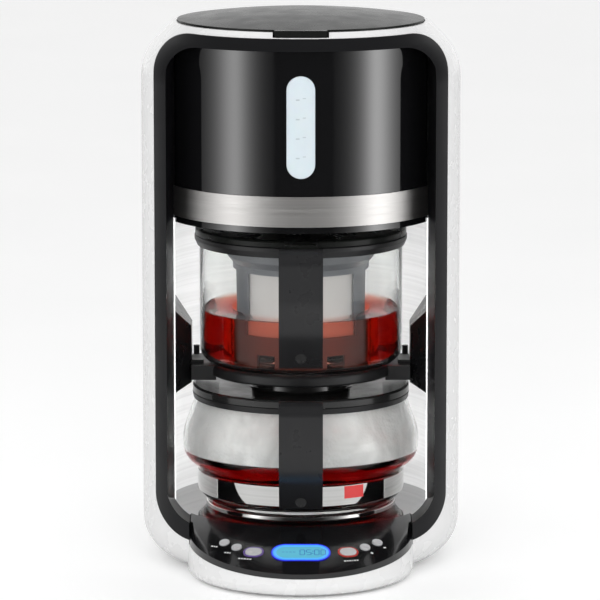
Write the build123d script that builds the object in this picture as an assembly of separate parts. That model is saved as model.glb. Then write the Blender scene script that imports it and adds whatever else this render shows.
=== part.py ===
from build123d import *
import os
from math import asin, atan2, cos, degrees, radians, sin, sqrt, tan

# Automatic tea maker: a white barrel housing with a black head above an open bay. The bay holds a
# glass brewing vessel on a shelf and a glass serving jug on a warming plate. Millimetres, +Z up.
# The front is -Y. Every piece is drawn about the barrel's vertical axis, and save() moves it so that
# the origin is the centre of the footprint, on the surface the appliance stands on.

os.makedirs("parts", exist_ok=True)

# Overall sizes
BARREL_R = 115.0        # outer radius of the white housing
HEIGHT = 400.0          # crown of the top lid above the surface
DEPTH = 263.0           # back of the barrel to the front of the control lobe
WALL = 3.0              # moulded walls of the housing
SKIN = 2.5              # thinner mouldings: panel, head cover, lids
FIT = 0.2               # gap between fixed mouldings
REST = 0.2              # gap under a piece that stands on another
BOTTOM_ROUND = 30.0     # round where the barrel meets its underside
SHOULDER_DROP = 31.0    # sharp corner of the 45 degree shoulder, below the crown
SHOULDER_ROUND = 41.0
LIP_DROP = 8.0          # top lip of the housing below the crown
VENT_ROWS = 6
VENT_DROP = 108.0       # lowest vent below the crown
VENT_PITCH = 8.0
FOOT_H = 2.0
FOOT_R = 8.0
SHELL_LOW = 1.5         # underside of the housing above the surface

# Front opening and its black frame
OPENING_SIDE = 10.5     # opening's edge in from the side of the barrel
OPENING_LOW = 28.0
OPENING_TOP_DROP = 12.0  # top edge of the opening below the crown
OPENING_ROUND = 28.0
FRAME_BAND = 8.0        # width of the frame on the barrel's surface
FRAME_PROUD = 0.6
FRAME_T = 2.8           # thickness of the band
THROAT_SIDE = 24.5      # throat in from the side of the barrel where it meets the bay wall
THROAT_SPLAY = 0.155    # each side of the throat opens by this much per millimetre forwards
THROAT_BACK = 33.0      # where the throat ends, in front of the axis

# Head
HEAD_INSET = 18.0       # head and bay wall inside the barrel's outer radius
DRUM_BOTTOM = 251.0
DRUM_TOP_DROP = 19.0
BAND_LOW = 4.5          # steel band above the drum's lower edge
BAND_H = 21.5
BAND_T = 0.8
COVER_HALF_ANGLE = 74.0
BAND_HALF_ANGLE = 72.0
WINDOW_W = 20.0
WINDOW_TOP_DROP = 19.0  # window's top below the drum's top
WINDOW_LOW = 39.0       # window above the drum's lower edge
TANK_INSET = 5.5        # tank inside the drum
TANK_LOW = 17.0         # tank floor above the drum's lower edge
RECESS_INSET = 17.0     # raised middle of the head's underside, inside the drum
RECESS_H = 5.0
SPRAY_R = 24.0
SPRAY_H = 2.8
NOZZLE_R = 6.0
COLD_INSET = 31.5       # tank outlet inside the tank's wall
DECK_T = 2.5
MOUTH_STEP = 4.8        # filling mouth inside the edge of the lid

# Top lid
LID_INSET = 26.2        # edge of the lid inside the side of the barrel
TOP_LID_RISE = 6.5
TOP_LID_EDGE = 4.3
LID_TAB_W = 37.0
LID_TAB_REACH = 5.0
HINGE_INSET = 11.8      # hinge line inside the edge of the lid
HINGE_PIN_R = 1.5
HINGE_LUG_X = 24.0
HINGE_LUG_W = 6.0
HINGE_LUG_R = 3.5
PIN_CLEARANCE = 0.06
LID_KNUCKLE_R = 2.9
LID_TAIL = 2.6          # lid behind its hinge line
LID_TAIL_W = 75.0

# Bay
FLOOR_TOP = 40.0
FLOOR_T = 3.0
LINER_T = 1.0
LINER_HALF_ANGLE = 68.5
PLATE_INSET = 31.0      # warming plate inside the bay wall
PLATE_RISE = 2.4
PLATE_T = 4.2
PLATE_RING_W = 2.9
CHEEK_REACH = 17.7      # how far the cheeks stand in from the wall
CHEEK_WALL_H = 76.0
CHEEK_FACE_H = 41.6
CHEEK_WALL_LOW = 82.8   # lower edge at the wall, above the bay floor
CHEEK_FACE_LOW = 89.6
CHEEK_FRONT = 50.0
CHEEK_FACE_FRONT = 12.0
CHEEK_BACK = 34.0

# Vessel shelf
SHELF_INSET = 30.0      # shelf ring inside the bay wall
SHELF_RING_W = 25.0
SHELF_TOP = 143.4
SHELF_T = 7.9
WING_Y = 30.0
WING_FRONT_Y = 22.0
WING_LOW = 3.0          # wings reach this far below the shelf's underside
WING_RISE = 2.6         # outer step of the wings above the shelf
STUD_R = 2.2
STUD_H = 4.6

# Brewing vessel
VESSEL_INSET = 23.5     # glass inside the bay wall
VESSEL_H = 89.6
VESSEL_WALL = 2.4
VESSEL_ROUND = 11.0
VESSEL_STAND = 0.6      # foot above the shelf top
PUNT_INSET = 14.7      # raised middle of the floor inside the strainer
PUNT_H = 5.0
GLASS_FLOOR = 3.0
COLLAR_PROUD = 3.5
COLLAR_H = 7.6
BREW_LID_H = 4.8
BREW_LID_RISE = 2.8
BREW_LID_SEAT = 0.3
STRAINER_INSET = 24.8   # strainer inside the vessel
STRAINER_WALL = 2.2
STRAINER_FLANGE_W = 5.3
STRAINER_FLANGE_H = 14.0
STRAINER_H = 88.0
STRAINER_FLOOR = 15.0
STRAINER_WINDOWS = 6
STRAINER_WINDOW_W = 34.0
MESH_T = 0.4
VALVE_HOLE_R = 8.0
VALVE_BORE_R = 5.0
VALVE_FLANGE_R = 12.0
STEM_R = 2.0
VALVE_LIFT = 2.0
DRAIN_HOLE_R = 1.0

# Serving jug
JUG_INSET = 22.7        # waist of the jug inside the bay wall
JUG_FOOT_STEP = 6.3     # foot in from the waist
JUG_BULGE_STEP = 11.6   # bulge out from the waist
JUG_NECK_STEP = 2.7     # neck out from the waist
JUG_WALL = 2.3
JUG_H = 78.4
WAIST_LOW = 7.4         # straight waist above the jug's foot
WAIST_TOP = 24.0
BULGE_LOW = 33.5
BULGE_TOP = 50.0
NECK_H = 3.5
JUG_BAND_T = 0.9
JUG_BAND_H = 14.0
JUG_COLLAR_H = 4.3
JUG_LID_STEP = 1.7      # lid out from the neck
JUG_LID_H = 5.3
JUG_LID_SEAT = 0.3
HUB_GAP = 8.0           # hub of the lid inside the shelf's bore
HUB_H = 11.0
FUNNEL_R = 5.0
JUG_PIN_STEP = 3.3      # hinge pin out from the lid

# Handles
HANDLE_W = 31.0
HANDLE_REACH = 45.5     # outer face beyond the brewing vessel's glass
HANDLE_T = 7.5
TAB_W = 22.0
TAB_T = 2.6
SCREW_HEAD_R = 4.0
SCREW_R = 1.8
SCREW_GAP = 0.05
BREW_SCREW_SEAT = 16.0  # screw head's seat in front of the glass
JUG_SCREW_SEAT = 13.0
LID_PIN_R = 1.2
LID_PIN_L = 24.0
LID_BARREL_R = 2.6
EAR_W = 3.5             # hinge ears of the handles

# Control panel
LOBE_STEP = 34.0        # radius of the round lobe under the barrel's
LOBE_FOOT_ROUND = 7.0
PANEL_FRONT_H = 17.94   # lower edge of the conical panel at the front
CREASE_INSET = 5.0      # crease of panel and bay floor inside the bay wall
SKIRT_FRONT_H = 14.3    # top edge of the white skirt at the front
SKIRT_EASE = 4.5        # skirt less steep than the panel
LCD_W = 42.0
LCD_H = 21.0
LCD_SHARE = 0.545       # places on the panel: share of the way from its crease to its front
SMALL_BUTTON_R = 3.75
OVAL_BUTTON_W = 12.0
OVAL_BUTTON_H = 9.0
OVAL_RING = 1.4
BUTTON_PROUD = 1.6
BUTTON_GAP = 0.3
BUTTON_SEAT = 3.4       # foot of a button below the panel's surface
FLANGE_W = 0.9          # flange round a button's foot
DISH_R = 9.0            # hollow in the face of a small button
BUTTON_TRAVEL = 1.0
STEM_TO_SWITCH = 1.2
OUTER_SHARE, INNER_SHARE, OVAL_SHARE = 0.4286, 0.4982, 0.5679
OUTER_TURN, INNER_TURN, OVAL_TURN = 27.8, 22.2, 15.6  # degrees from the front
BOARD_DROP = 12.0       # circuit board below the panel's surface at the display
BOARD_T = 1.6
BOARD_RIM = 4.9         # board beyond the outer buttons' centres
BOARD_FRONT = 15.0      # board's front edge from the display's centre

# Inside
HOSE_R = 4.2
HOSE_BORE_R = 2.8
HOSE_X = 18.0
HOSE_INSET = 10.8       # middle of a hose inside the barrel's surface
HEATER_INSET = 21.0     # middle of the heater inside the warming plate
HEATER_W = 14.0
HEATER_H = 12.0
SOLENOID_W = 22.0
SOLENOID_D = 11.0
SOLENOID_H = 24.0
PLUNGER_R = 2.5
ARM_W = 6.0
ARM_T = 2.0
POST_R = 5.0
POST_INSET, POST_Y = 4.0, 32.0
FOOT_INSET = 27.0       # front feet inside the lobe's radius
FOOT_FROM_POST = 30.0
BASE_T = 2.5
GLAND_R = 7.0
GLAND_Z = 38.0
GLAND_ANGLE = 26.0

# Places worked out from the sizes above
DRUM_R = BARREL_R - HEAD_INSET
TANK_R = DRUM_R - TANK_INSET
RECESS_R = DRUM_R - RECESS_INSET
COLD_Y = TANK_R - COLD_INSET
TOP_LID_R = BARREL_R - LID_INSET
DECK_BORE_R = TOP_LID_R - MOUTH_STEP
HINGE_Y = TOP_LID_R - HINGE_INSET
PLATE_R = DRUM_R - PLATE_INSET
SHELF_R = DRUM_R - SHELF_INSET
SHELF_BORE_R = SHELF_R - SHELF_RING_W
VESSEL_R = DRUM_R - VESSEL_INSET
STRAINER_R = VESSEL_R - STRAINER_INSET
STRAINER_FLANGE_R = STRAINER_R + STRAINER_FLANGE_W
PUNT_R = STRAINER_R - PUNT_INSET
JUG_WAIST_R = DRUM_R - JUG_INSET
JUG_FOOT_R = JUG_WAIST_R - JUG_FOOT_STEP
JUG_BULGE_R = JUG_WAIST_R + JUG_BULGE_STEP
JUG_NECK_R = JUG_WAIST_R + JUG_NECK_STEP
JUG_LID_R = JUG_NECK_R + JUG_LID_STEP
JUG_PIN_Y = JUG_LID_R + JUG_PIN_STEP
HUB_R = SHELF_BORE_R - HUB_GAP
HOSE_Y = BARREL_R - HOSE_INSET
HEATER_R = PLATE_R - HEATER_INSET
POST_X = PLATE_R - POST_INSET
LOBE_R = BARREL_R - LOBE_STEP
axis_y = DEPTH / 2 - BARREL_R
lobe_front = DEPTH - BARREL_R
lobe_centre = lobe_front - LOBE_R
crease_r = DRUM_R - CREASE_INSET
panel_length = lobe_front - crease_r
panel_slope = degrees(atan2(FLOOR_TOP - PANEL_FRONT_H, panel_length))
skirt_slope = panel_slope - SKIRT_EASE
LCD_AT = crease_r + LCD_SHARE * panel_length
small_places = {}
oval_places = {}
for way, name in ((-1, "left"), (1, "right")):
    small_places[f"button_{name}_outer"] = crease_r + OUTER_SHARE * panel_length, way * OUTER_TURN
    small_places[f"button_{name}_inner"] = crease_r + INNER_SHARE * panel_length, way * INNER_TURN
    oval_places[f"button_{name}_oval"] = crease_r + OVAL_SHARE * panel_length, way * OVAL_TURN
button_h = BUTTON_PROUD + BUTTON_SEAT - 0.5
lip_z = HEIGHT - LIP_DROP
shoulder_z = HEIGHT - SHOULDER_DROP
lip_r = BARREL_R - (lip_z - shoulder_z)
drum_top = HEIGHT - DRUM_TOP_DROP
opening_w = 2 * (BARREL_R - OPENING_SIDE)
throat_back_w = 2 * (BARREL_R - THROAT_SIDE)
window_h = drum_top - WINDOW_TOP_DROP - DRUM_BOTTOM - WINDOW_LOW
flat_r = BARREL_R - BOTTOM_ROUND - 3
opening_top = HEIGHT - OPENING_TOP_DROP
recess_z = DRUM_BOTTOM + RECESS_H
tank_z = DRUM_BOTTOM + TANK_LOW
deck_z = HEIGHT - 16.0
lid_low = HEIGHT - TOP_LID_RISE - TOP_LID_EDGE
hinge_z = lid_low + 1.8
plate_top = FLOOR_TOP + PLATE_RISE
jug_z = plate_top + REST
shelf_low = SHELF_TOP - SHELF_T
vessel_z = SHELF_TOP + VESSEL_STAND
vessel_top = vessel_z + VESSEL_H
collar_top = vessel_top + 4.0
brew_lid_z = collar_top + BREW_LID_SEAT
jug_top = jug_z + JUG_H
jug_collar_top = jug_top + 1.3
jug_lid_z = jug_collar_top + JUG_LID_SEAT
brew_pin_y = VESSEL_R + COLLAR_PROUD + 3.2
brew_pin_z = brew_lid_z + 2.4
brew_screw_z = vessel_z + 17.5
jug_pin_z = jug_lid_z + 2.6
jug_screw_z = jug_z + WAIST_LOW + 7.5
barrel_inner_r = BARREL_R - WALL
solenoid_y = DRUM_R + LINER_T + 0.3
plunger_y = solenoid_y + SOLENOID_D / 2
arm_z = SHELF_TOP - 3.8
BIG = 3 * (BARREL_R + HEIGHT)


# Drawing helpers

def section(plane, corners):
    """Closed face on a plane from (u, v) or (u, v, round) corners."""
    points = [corner[:2] for corner in corners]
    rounds = [corner[2] if len(corner) > 2 else 0 for corner in corners]
    return make_face(plane * FilletPolyline(*points, radius=rounds, close=True))


def turned(corners):
    """Solid turned about the vertical axis from (radius, height[, round]) corners."""
    return revolve(section(Plane.XZ, corners), axis=Axis.Z)


def side_cut(corners, width):
    """Side profile in (y, height[, round]) corners, width wide across X."""
    return extrude(section(Plane.YZ, corners), amount=width / 2, both=True)


def plan(corners, low, high):
    """Plan outline in (x, y[, round]) corners between two heights."""
    return extrude(section(Plane.XY.offset(low), corners), amount=high - low)


def disc(radius, low, high, x=0.0, y=0.0):
    return Pos(x, y, (low + high) / 2) * Cylinder(radius, high - low)


def ring(inner, outer, low, high):
    return disc(outer, low, high) - disc(inner, low - 1, high + 1)


def block(x0, x1, y0, y1, z0, z1):
    return Pos((x0 + x1) / 2, (y0 + y1) / 2, (z0 + z1) / 2) * Box(x1 - x0, y1 - y0, z1 - z0)


def rod(radius, start, end):
    """Round rod between two points."""
    line = Vector(*end) - Vector(*start)
    return extrude(Plane(start, z_dir=line) * Circle(radius), amount=line.length)


def wedge(half_angle, low, high, front=True):
    """Sector of plan either side of the front or the back, as a cutting block."""
    way = -1 if front else 1
    reach = BIG * sin(radians(half_angle)), way * BIG * cos(radians(half_angle))
    return plan([(0, 0), (reach[0], reach[1]), (0, way * 2 * BIG), (-reach[0], reach[1])], low, high)


def lobe(inset, low, high):
    """Round prism of the control lobe, moved in by inset."""
    return disc(LOBE_R - inset, low, high, 0, -lobe_centre)


def under_cone(front_z, slope, low):
    """Everything under a cone about the barrel's axis that is at front_z above the lobe's front."""
    rise = tan(radians(slope))
    return turned([(0, low), (BIG, low), (BIG, low + 0.1), (lobe_front + (front_z - low) / rise, low + 0.1),
                   (0, front_z + lobe_front * rise)])


def barrel(inset, low, top, bottom_round=0.0):
    """Turned outline of the housing, moved in by inset, between two heights."""
    wall = BARREL_R - inset
    corner = shoulder_z - inset * tan(radians(22.5))
    lip = wall - (top - corner)
    return turned([(0, low), (wall, low, bottom_round), (wall, corner, SHOULDER_ROUND - inset),
                   (lip, top), (0, top)])


def front_prism(width, low, high, round_off):
    """Rounded rectangle seen from the front, from the axis forwards."""
    face = Pos(0, (low + high) / 2) * RectangleRounded(width, high - low, round_off)
    return extrude(Plane.XZ * face, amount=BIG)


def throat(spread, low, high):
    """Splayed plan of the frame's throat, wider towards the front."""
    half = throat_back_w / 2 + spread
    reach = 1.2 * BARREL_R
    widen = THROAT_SPLAY * (reach - THROAT_BACK)
    return plan([(half, -THROAT_BACK), (half + widen, -reach), (-half - widen, -reach),
                 (-half, -THROAT_BACK)], low, high)


def on_panel(out, turn, depth=0.0):
    """Plane on the conical panel, out from the axis and turned from the front, sunk by depth."""
    slope, way = radians(panel_slope), radians(turn)
    radial = Vector(sin(way), -cos(way), 0)
    normal = radial * sin(slope) + Vector(0, 0, cos(slope))
    place = radial * out + Vector(0, 0, FLOOR_TOP - (out - crease_r) * tan(slope))
    return Plane(place - normal * depth, x_dir=(cos(way), sin(way), 0), z_dir=normal)


def save(name, shape):
    """Write a sub-part, moved from the barrel's axis to the centre of the footprint."""
    export_step(Pos(0, axis_y, 0) * shape, f"parts/{name}.step")


# Housing

def front_opening(gap):
    """Everything the front opening takes out of the barrel."""
    window = front_prism(opening_w + 2 * gap, OPENING_LOW - gap, opening_top + gap, OPENING_ROUND)
    return window + (lobe(-FIT, 0, FLOOR_TOP + 1) - skirt_cone(0))


def skirt_cone(drop):
    return under_cone(SKIRT_FRONT_H - drop, skirt_slope, 0)


def outer_shell():
    body = barrel(0, SHELL_LOW, lip_z, BOTTOM_ROUND)
    body += fillet(lobe(0, SHELL_LOW, FLOOR_TOP).edges().group_by(Axis.Z)[0], LOBE_FOOT_ROUND) & skirt_cone(0)
    body -= barrel(WALL, SHELL_LOW + WALL, lip_z - WALL, BOTTOM_ROUND - WALL)
    body -= disc(TOP_LID_R + 0.6, lip_z - 2 * WALL, lip_z + 1)
    body -= lobe(WALL, SHELL_LOW + WALL, FLOOR_TOP)
    body -= base_outline(0, 0, SHELL_LOW + WALL + 1)
    body -= front_opening(0)
    notch = LID_TAB_W / 2 + 1.2
    body -= block(-notch, notch, -lip_r - 7, -TOP_LID_R + 3, lid_low - 0.7, HEIGHT)
    for row in range(VENT_ROWS):
        z = HEIGHT - VENT_DROP + row * VENT_PITCH
        for side in (-1, 1):
            body -= block(side * 36 - 16, side * 36 + 16, 0, BIG, z, z + 3)
    body -= disc_at_gland(GLAND_R - 2.0, -10, 10)
    return body


def base_outline(inset, low, high):
    """Plan of the hole in the underside: the barrel's flat and the lobe, moved in by inset."""
    flat = Circle(flat_r - inset)
    front = Pos(0, -lobe_centre) * Circle(LOBE_R - LOBE_FOOT_ROUND - 1.5 - inset)
    return extrude(Pos(0, 0, low) * (flat + front), amount=high - low)


def front_bezel():
    low, high = OPENING_LOW + FIT, opening_top - FIT
    skin = barrel(-FRAME_PROUD, 0, lip_z) - barrel(FRAME_T - FRAME_PROUD, -1, lip_z + 1)
    skin &= front_prism(opening_w - 2 * FIT, low, high, OPENING_ROUND - FIT)
    inner_w = opening_w - 2 * FRAME_BAND
    inner_round = OPENING_ROUND - FRAME_BAND / 2
    lips = barrel(-FRAME_PROUD, 0, lip_z) - disc(DRUM_R + 1.2, -1, HEIGHT)
    lips &= front_prism(inner_w + 2 * SKIN, FLOOR_TOP - BIG, high - FRAME_BAND + SKIN, inner_round + SKIN)
    lips &= throat(SKIN, FLOOR_TOP + FIT, HEIGHT)
    clear = front_prism(inner_w, FLOOR_TOP, high - FRAME_BAND, inner_round) & throat(0, FLOOR_TOP, HEIGHT)
    clear += block(-BIG, BIG, -BIG, BIG, -10, OPENING_LOW + FIT)
    clear += lobe(-2 * FIT, 0, FLOOR_TOP + 1)
    return skin + lips - clear


def drum_cover():
    shell = ring(DRUM_R - SKIN, DRUM_R, DRUM_BOTTOM, drum_top)
    shell &= wedge(COVER_HALF_ANGLE, DRUM_BOTTOM - 1, drum_top + 1)
    return shell - window_prism(FIT)


def window_prism(gap):
    face = SlotOverall(window_h + 2 * gap, WINDOW_W + 2 * gap, rotation=90)
    centre = DRUM_BOTTOM + WINDOW_LOW + window_h / 2
    return extrude(Plane.XZ * (Pos(0, centre) * face), amount=BIG)


def level_window():
    return ring(DRUM_R - SKIN, DRUM_R + 0.6, DRUM_BOTTOM, drum_top) & window_prism(0)


def steel_band():
    low = DRUM_BOTTOM + BAND_LOW
    band = ring(DRUM_R + 0.1, DRUM_R + BAND_T, low, low + BAND_H)
    return band & wedge(BAND_HALF_ANGLE, low - 1, low + BAND_H + 1)


def drum_floor():
    """Underside of the head, with a raised middle and the rib that carries the tank."""
    low, top = DRUM_BOTTOM, DRUM_BOTTOM + SKIN
    plate = disc(DRUM_R - FIT, low, top)
    under_cover = ring(DRUM_R - SKIN - FIT, DRUM_R + 1, low - 1, top + 1)
    plate -= under_cover & wedge(COVER_HALF_ANGLE + 1, low - 1, top + 1)
    plate -= disc(RECESS_R, low - 1, top + 1)
    plate += ring(RECESS_R, RECESS_R + SKIN, low, recess_z + SKIN)
    plate += disc(RECESS_R + 1, recess_z, recess_z + SKIN)
    rib = ring(RECESS_R + 4, RECESS_R + 4 + SKIN, top - 0.5, tank_z)
    plate += rib - block(-HOSE_X - 9, HOSE_X + 9, 0, BIG, top, tank_z + 1)
    return plate - disc(NOZZLE_R + FIT, recess_z - 1, recess_z + SKIN + 1)


def spray_head():
    top = recess_z + SKIN + HOSE_R + 4
    head = disc(SPRAY_R, recess_z - SPRAY_H, recess_z) + disc(NOZZLE_R, recess_z, top)
    for index in range(8):
        spot = Pos(*Vector(16, 0, 0).rotate(Axis.Z, index * 45))
        head -= spot * disc(1.2, recess_z - SPRAY_H - 1, recess_z + 1)
    return head


def water_tank():
    top = deck_z
    tank = disc(TANK_R, tank_z, top) - disc(TANK_R - SKIN, tank_z + SKIN, top + 1)
    tank += disc(5.0, tank_z - 5.4, tank_z, -HOSE_X, COLD_Y)
    return tank - disc(HOSE_BORE_R, tank_z - 9, tank_z + SKIN + 1, -HOSE_X, COLD_Y)


def top_deck():
    """Ring that closes the head round the filling mouth and carries the lid's hinge lugs."""
    inner_lip = barrel_inner_r - (deck_z + DECK_T - shoulder_z + WALL * tan(radians(22.5)))
    deck = ring(DECK_BORE_R, inner_lip - FIT, deck_z, deck_z + DECK_T)
    seat = ring(DECK_BORE_R, DECK_BORE_R + 3, deck_z + DECK_T, lid_low - REST)
    deck += seat - block(-BIG, BIG, HINGE_Y - 8, BIG, deck_z, HEIGHT)
    tail = disc(TOP_LID_R, deck_z + DECK_T, lip_z + 1) & block(-BIG, BIG, HINGE_Y + 5.2, BIG, 0, HEIGHT)
    deck += tail
    for side in (-1, 1):
        x0, x1 = side * HINGE_LUG_X - HINGE_LUG_W / 2, side * HINGE_LUG_X + HINGE_LUG_W / 2
        lug = block(x0, x1, HINGE_Y - HINGE_LUG_R, HINGE_Y + HINGE_LUG_R, deck_z + 0.5, hinge_z)
        lug += rod(HINGE_LUG_R, (x0, HINGE_Y, hinge_z), (x1, HINGE_Y, hinge_z))
        lug += block(x0, x1, HINGE_Y - HINGE_LUG_R, HINGE_Y + 8, deck_z, deck_z + DECK_T)
        deck += lug
        deck -= rod(HINGE_PIN_R, (x0 - 1, HINGE_Y, hinge_z), (x1 + 1, HINGE_Y, hinge_z))
    return deck


def lid_hinge_pins():
    pins = []
    for side in (-1, 1):
        start = side * (HINGE_LUG_X - HINGE_LUG_W / 2)
        end = side * (HINGE_LUG_X + HINGE_LUG_W / 2 + 8)
        pins.append(rod(HINGE_PIN_R, (start, HINGE_Y, hinge_z), (end, HINGE_Y, hinge_z)))
    return Compound(children=pins)


def top_lid():
    crown, edge = HEIGHT, HEIGHT - TOP_LID_RISE
    dome = section(Plane.XZ, [(0, lid_low), (TOP_LID_R, lid_low), (TOP_LID_R, edge), (0, edge)])
    lid = revolve(dome, axis=Axis.Z)
    sphere_r = (TOP_LID_R ** 2 + TOP_LID_RISE ** 2) / (2 * TOP_LID_RISE)
    cap = Pos(0, 0, crown - sphere_r) * Sphere(sphere_r)
    lid += cap & disc(TOP_LID_R, edge - 0.5, crown + 1)
    inside = Pos(0, 0, crown - SKIN - sphere_r) * Sphere(sphere_r)
    lid -= inside & disc(TOP_LID_R - SKIN, lid_low - 1, crown)
    tab_y = TOP_LID_R + LID_TAB_REACH
    lid += block(-LID_TAB_W / 2, LID_TAB_W / 2, -tab_y, -TOP_LID_R + 3, lid_low, edge)
    lid -= block(-BIG, BIG, HINGE_Y + LID_TAIL, BIG, 0, BIG)
    tail = block(-LID_TAIL_W / 2, LID_TAIL_W / 2, 0, BIG, -1, 2 * BIG)
    lid -= block(-BIG, BIG, HINGE_Y - 1.6, BIG, 0, BIG) - tail
    lid &= block(-BIG, BIG, -BIG, BIG, lid_low, BIG)
    for side in (-1, 1):
        x0 = side * (HINGE_LUG_X + HINGE_LUG_W / 2 + 0.4)
        x1 = x0 + side * 8.0
        lid += rod(LID_KNUCKLE_R, (x0, HINGE_Y, hinge_z), (x1, HINGE_Y, hinge_z))
        lid += block(min(x0, x1), max(x0, x1), HINGE_Y - 6, HINGE_Y, hinge_z - 1.2, hinge_z + LID_KNUCKLE_R)
        inner = side * (HINGE_LUG_X - HINGE_LUG_W / 2 - 0.5)
        lid -= block(min(inner, x0), max(inner, x0), HINGE_Y - HINGE_LUG_R - 1, BIG, 0, BIG)
        lid -= rod(HINGE_PIN_R + PIN_CLEARANCE, (inner, HINGE_Y, hinge_z), (x1 + side, HINGE_Y, hinge_z))
    return lid


# Bay

def bay_liner():
    liner = ring(DRUM_R, DRUM_R + LINER_T, FLOOR_TOP, DRUM_BOTTOM + SKIN)
    liner -= wedge(LINER_HALF_ANGLE, 0, HEIGHT)
    return liner - block(-ARM_W / 2 - 1, ARM_W / 2 + 1, 0, BIG, arm_z - 2, arm_z + ARM_T + VALVE_LIFT + 2)


def cheek(side):
    """Bracket that grows out of the bay wall to carry the end of the shelf."""
    wall_x, face_x = side * (DRUM_R + 3), side * (DRUM_R - CHEEK_REACH)
    low, face_low = FLOOR_TOP + CHEEK_WALL_LOW, FLOOR_TOP + CHEEK_FACE_LOW
    spare = 3 / CHEEK_REACH
    grow = spare * (CHEEK_FRONT - CHEEK_FACE_FRONT)
    wall = [(-CHEEK_FRONT - grow, low), (CHEEK_BACK, low), (CHEEK_BACK, low + CHEEK_WALL_H),
            (-CHEEK_FRONT - grow, low + CHEEK_WALL_H)]
    face = [(-CHEEK_FACE_FRONT, face_low), (CHEEK_FACE_FRONT, face_low),
            (CHEEK_FACE_FRONT, face_low + CHEEK_FACE_H), (-CHEEK_FACE_FRONT, face_low + CHEEK_FACE_H)]
    solid = loft([section(Plane.YZ.offset(wall_x), wall), section(Plane.YZ.offset(face_x), face)])
    return solid & disc(DRUM_R - FIT, 0, HEIGHT)


def vessel_shelf():
    """Ring under the vessel with a wing to each cheek and a channel for the lifting arm."""
    shelf = turned([(SHELF_BORE_R, shelf_low), (SHELF_R, shelf_low, 2), (SHELF_R, SHELF_TOP, 2),
                    (SHELF_BORE_R, SHELF_TOP, 1)])
    end = DRUM_R - CHEEK_REACH - REST
    step = VESSEL_R - 3.0
    for side in (-1, 1):
        inner, outer = sorted((side * (SHELF_R - 8), side * end))
        wing = block(inner, outer, -WING_FRONT_Y, WING_Y, shelf_low + 0.5 - WING_LOW, SHELF_TOP)
        wing -= disc(SHELF_BORE_R + 2, 0, HEIGHT)
        wing -= disc(SHELF_R - 2, 0, shelf_low)
        inner, outer = sorted((side * step, side * end))
        wing += block(inner, outer, -CHEEK_FACE_FRONT, CHEEK_FACE_FRONT, shelf_low, SHELF_TOP + WING_RISE)
        stud_x = side * (end - STUD_R - 0.4)
        wing += disc(STUD_R, SHELF_TOP - 3, SHELF_TOP + WING_RISE + STUD_H, stud_x, WING_Y - 6)
        shelf += wing
    channel = ARM_W / 2 + 0.8
    return shelf - block(-channel, channel, 0, BIG, arm_z - 0.7, SHELF_TOP + 1)


def drain_solenoid():
    coil_top = arm_z - 1.0
    coil = block(-SOLENOID_W / 2, SOLENOID_W / 2, solenoid_y, solenoid_y + SOLENOID_D,
                 coil_top - SOLENOID_H, coil_top)
    return coil - disc(PLUNGER_R + PIN_CLEARANCE, coil_top - SOLENOID_H + 3, coil_top + 1, 0, plunger_y)


def lift_arm():
    """Solenoid plunger with the arm that reaches under the vessel's drain valve."""
    plunger = disc(PLUNGER_R, arm_z - 14, arm_z + ARM_T, 0, plunger_y)
    arm = block(-ARM_W / 2, ARM_W / 2, 0, plunger_y + 3, arm_z, arm_z + ARM_T)
    return plunger + arm + disc(4.0, arm_z, vessel_z - 0.7)


def floor_cover():
    low, top = FLOOR_TOP - FLOOR_T, FLOOR_TOP
    front = disc(barrel_inner_r + WALL - FRAME_T + FRAME_PROUD - FIT, low, top) & throat(SKIN, low, top)
    cover = disc(DRUM_R + LINER_T + 0.8, low, top) + front
    cover -= lobe(-FIT, low - 1, top + 1) - disc(crease_r - FIT, low - 1, top + 1)
    cover -= disc(PLATE_R + FIT, low - 1, top + 1)
    return cover


def warming_plate():
    plate = turned([(0, plate_top - PLATE_T), (PLATE_R, plate_top - PLATE_T), (PLATE_R, plate_top, 0.8),
                    (0, plate_top)])
    return plate


def plate_ring():
    inner = PLATE_R + FIT
    return turned([(inner, FLOOR_TOP), (inner + PLATE_RING_W, FLOOR_TOP),
                   (inner + PLATE_RING_W, plate_top - 0.6, 0.9), (inner, plate_top - 0.6)])


# Control panel

def panel_body(inset):
    """Lobe under the conical panel, moved in by inset."""
    drop = inset / cos(radians(panel_slope))
    return lobe(inset, 0, FLOOR_TOP + 1) & under_cone(PANEL_FRONT_H - drop, panel_slope, 0)


def button_holes(gap):
    """Prisms of the six buttons and their rings, square to the panel."""
    holes = [extrude(on_panel(*place) * Circle(SMALL_BUTTON_R + gap), amount=6, both=True)
             for place in small_places.values()]
    oval = SlotOverall(OVAL_BUTTON_W + 2 * (OVAL_RING + gap), OVAL_BUTTON_H + 2 * (OVAL_RING + gap))
    return holes + [extrude(on_panel(*place) * oval, amount=6, both=True) for place in oval_places.values()]


def control_panel():
    solid = panel_body(0)
    panel = solid - panel_body(SKIN) - disc(crease_r, 0, HEIGHT) - skirt_cone(-FIT)
    window = SlotOverall(LCD_W + 2 * FIT, LCD_H + 2 * FIT)
    panel -= extrude(on_panel(LCD_AT, 0) * window, amount=6, both=True)
    for hole in button_holes(BUTTON_GAP):
        panel -= hole
    return panel


def lcd_window():
    return extrude(on_panel(LCD_AT, 0, SKIN) * SlotOverall(LCD_W, LCD_H), amount=SKIN + 0.3)


def oval_ring(name):
    outer = SlotOverall(OVAL_BUTTON_W + 2 * OVAL_RING, OVAL_BUTTON_H + 2 * OVAL_RING)
    inner = SlotOverall(OVAL_BUTTON_W + 2 * BUTTON_GAP, OVAL_BUTTON_H + 2 * BUTTON_GAP)
    return extrude(on_panel(*oval_places[name], SKIN) * (outer - inner), amount=SKIN + 0.5)


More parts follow.
